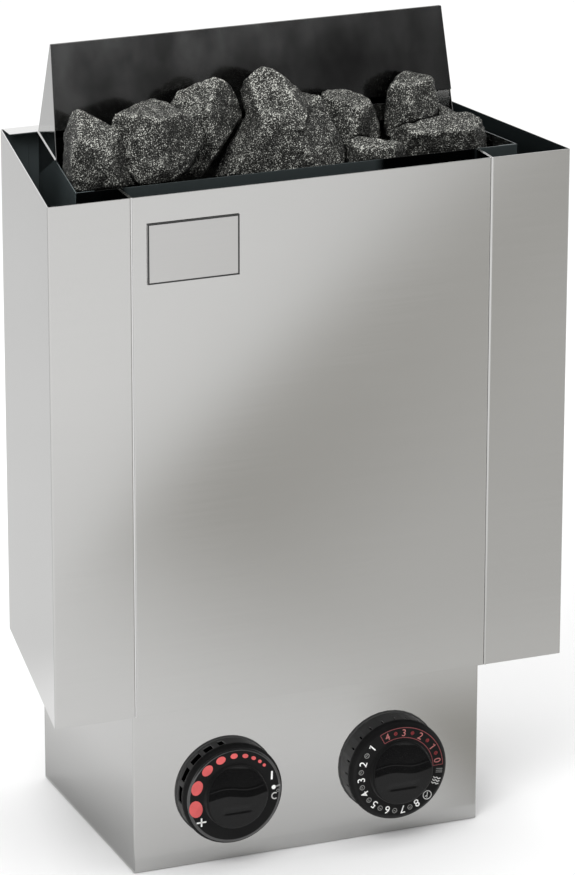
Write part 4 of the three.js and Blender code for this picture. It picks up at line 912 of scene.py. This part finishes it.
def slot_closer():
    """Sheet in the air slot between the chamber's rear wall and the guard, at its right end."""
    low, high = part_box("chamber_rear_wall")
    guard_low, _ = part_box("guard_front_plate")
    gap = 0.05 * MM
    rise = guard_low.z - high.z
    section = [(0, gap), (high.y - low.y, gap), (high.y - low.y, rise - gap), (0, rise - gap)]
    spot = Vector((high.x - 34 * MM, low.y, high.z))
    run_along("guard_slot_closer", section, spot, spot + Vector((33.5 * MM, 0, 0)), CHAMBER)


for side in ("left", "right"):
    guard_foot(side)
slot_closer()


# Stage: a pale floor, cards that only the metal's reflections see, soft light
def sheet(name, corners, material):
    """A flat stage piece through world points."""
    mesh = bpy.data.meshes.new(name)
    mesh.from_pydata(corners, [], [tuple(range(len(corners)))])
    mesh.materials.append(material)
    made = bpy.data.objects.new(name, mesh)
    scene.collection.objects.link(made)
    return made


def level(x0, x1, y0, y1, z):
    return [(x0, y0, z), (x1, y0, z), (x1, y1, z), (x0, y1, z)]


def matt(name, colour, swing=0.01, scale=3.0):
    made = Shader(name, Roughness=0.9, Specular_IOR_Level=0.1)
    low, high = tint(colour, 1 - swing), tint(colour, 1 + swing)
    made.set(made.surface, {"Base Color": made.ramp(made.clouds(scale, 2.0), [(0.35, low), (0.65, high)])})
    return made.material


def shaded_card(name):
    """A pale card, brightest far off and close by, with a soft grey field of painted shadow beyond a slanting edge:
    the heater's shadow on the floor, as the metal reflects it.
    """
    made = Shader(name, Roughness=0.9, Specular_IOR_Level=0.1)
    depth = made.along((0, -1, 0))
    across = made.along((1, 0, 0))
    past = made.along((0.774, 0.633, 0))
    # Painted shadow: a grey field past a slanting edge.
    painted_shadow_field = made.maths("MULTIPLY", made.fade(past, -0.385, -0.355), made.fade(across, -0.07, 0.2))
    painted_shadow_field = made.maths("MULTIPLY", painted_shadow_field, made.span(past, 1.0, 0.62, -0.34, -0.14))
    reach = made.ramp(depth, [(0.22, (0.1,) * 3), (0.33, (0.65,) * 3), (0.45, (0.85,) * 3), (0.7, (1, 1, 1))])
    painted_shadow_field = made.maths("MULTIPLY", painted_shadow_field, reach)
    # Painted shadow: a darker corner at the right, close by the box.
    painted_shadow_corner = made.maths("MULTIPLY", made.fade(across, 0.08, 0.17), made.span(made.fade(depth, 0.42, 0.2), 0.0, 0.95))
    painted_shadow_field = made.maths("MAXIMUM", painted_shadow_field, painted_shadow_corner)
    pale = made.ramp(depth, [(0.28, (1, 1, 1)), (0.45, (0.93,) * 3), (0.75, (0.94,) * 3), (1.0, (1, 1, 1))])
    shade = made.ramp(painted_shadow_field, [(0.0, (1.0, 1.0, 1.0)), (1.0, (0.435, 0.425, 0.395))])
    made.set(made.surface, {"Base Color": made.times(pale, shade)})
    return made.material


def side_card_paint(name):
    """A grey card, painted dark close to the box as shade and pale a hand's breadth from it; the box's side reflects
    it.
    """
    made = Shader(name, Roughness=0.9, Specular_IOR_Level=0.1)
    off = made.span(made.along((-1, 0, 0)), 0.0, 1.0, 0.115, 0.225)
    # Painted shade: the card darkest right by the box.
    painted_shade_near = made.ramp(off, [(0.0, (0.62,) * 3), (0.15, (0.72,) * 3), (0.5, (0.9,) * 3), (1.0, (0.84,) * 3)])
    even = made.ramp(made.clouds(3.0, 2.0), [(0.35, (0.653, 0.653, 0.651)), (0.65, (0.667, 0.667, 0.665))])
    made.set(made.surface, {"Base Color": made.blend(made.fade(made.along((0, 1, 0)), 0.2, 0.34), painted_shade_near, even)})
    return made.material


def reflected_only(obj):
    obj.visible_camera = obj.visible_diffuse = obj.visible_shadow = obj.visible_transmission = False


sheet("floor", level(-15, 15, -15, 15, -0.0004), matt("floor_paint", (0.92, 0.92, 0.92)))
reflected_only(sheet("floor_card", level(-0.8, 3.0, -3.0, -0.1, 0.001), shaded_card("card_grey")))
side_corners = [(-3, -0.1), (-0.117, -0.1), (-0.117, 0.11), (0.6, 0.11), (0.6, 4), (-3, 4)]
reflected_only(sheet("side_card", [(x, y, 0.001) for x, y in side_corners], side_card_paint("side_card_grey")))
reflected_only(sheet(
    "curtain", [(-2.5, -4.2, 0.3), (6.0, -4.2, 0.3), (6.0, -4.2, 9.0), (-2.5, -4.2, 9.0)],
    matt("curtain_cloth", (0.13, 0.13, 0.13), swing=0.75, scale=7.0),
))

reflected_only(sheet("canopy", level(-6.0, 3.0, -4.2, -0.4, 3.0), matt("canopy_cloth", (0.08, 0.08, 0.08))))

world = bpy.data.worlds.new("studio")
world.use_nodes = True
world.node_tree.nodes["Background"].inputs["Color"].default_value = (1, 1, 1, 1)
world.node_tree.nodes["Background"].inputs["Strength"].default_value = 0.95
scene.world = world


def softbox(name, place, target, size, power):
    lamp = bpy.data.lights.new(name, "AREA")
    lamp.shape = "RECTANGLE"
    lamp.size, lamp.size_y = size
    lamp.energy = power
    made = bpy.data.objects.new(name, lamp)
    made.location = place
    made.rotation_euler = (Vector(target) - Vector(place)).to_track_quat("-Z", "Y").to_euler()
    made.visible_glossy = False
    scene.collection.objects.link(made)


softbox("key", (-1.6, -1.8, 2.6), (0, 0, 0.3), (1.6, 1.6), 45)
softbox("top", (0.3, 0.4, 2.6), (0, 0, 0.3), (2.0, 2.0), 15)

# Camera at the photograph's place
PITCH, YAW, ROLL = math.radians(19.188), math.radians(22.169), math.radians(0.074)
camera = bpy.data.objects.new("camera", bpy.data.cameras.new("camera"))
camera.data.sensor_width = 36
camera.data.lens = 36 * 5014.7 / 875
camera.data.clip_start, camera.data.clip_end = 0.1, 100
camera.location = (-1.10702, -2.76488, 1.28216)
aim = Vector((math.sin(YAW) * math.cos(PITCH), math.cos(YAW) * math.cos(PITCH), -math.sin(PITCH)))
camera.rotation_mode = "QUATERNION"
camera.rotation_quaternion = aim.to_track_quat("-Z", "Y") @ Matrix.Rotation(ROLL, 3, "Z").to_quaternion()
scene.collection.objects.link(camera)
scene.camera = camera
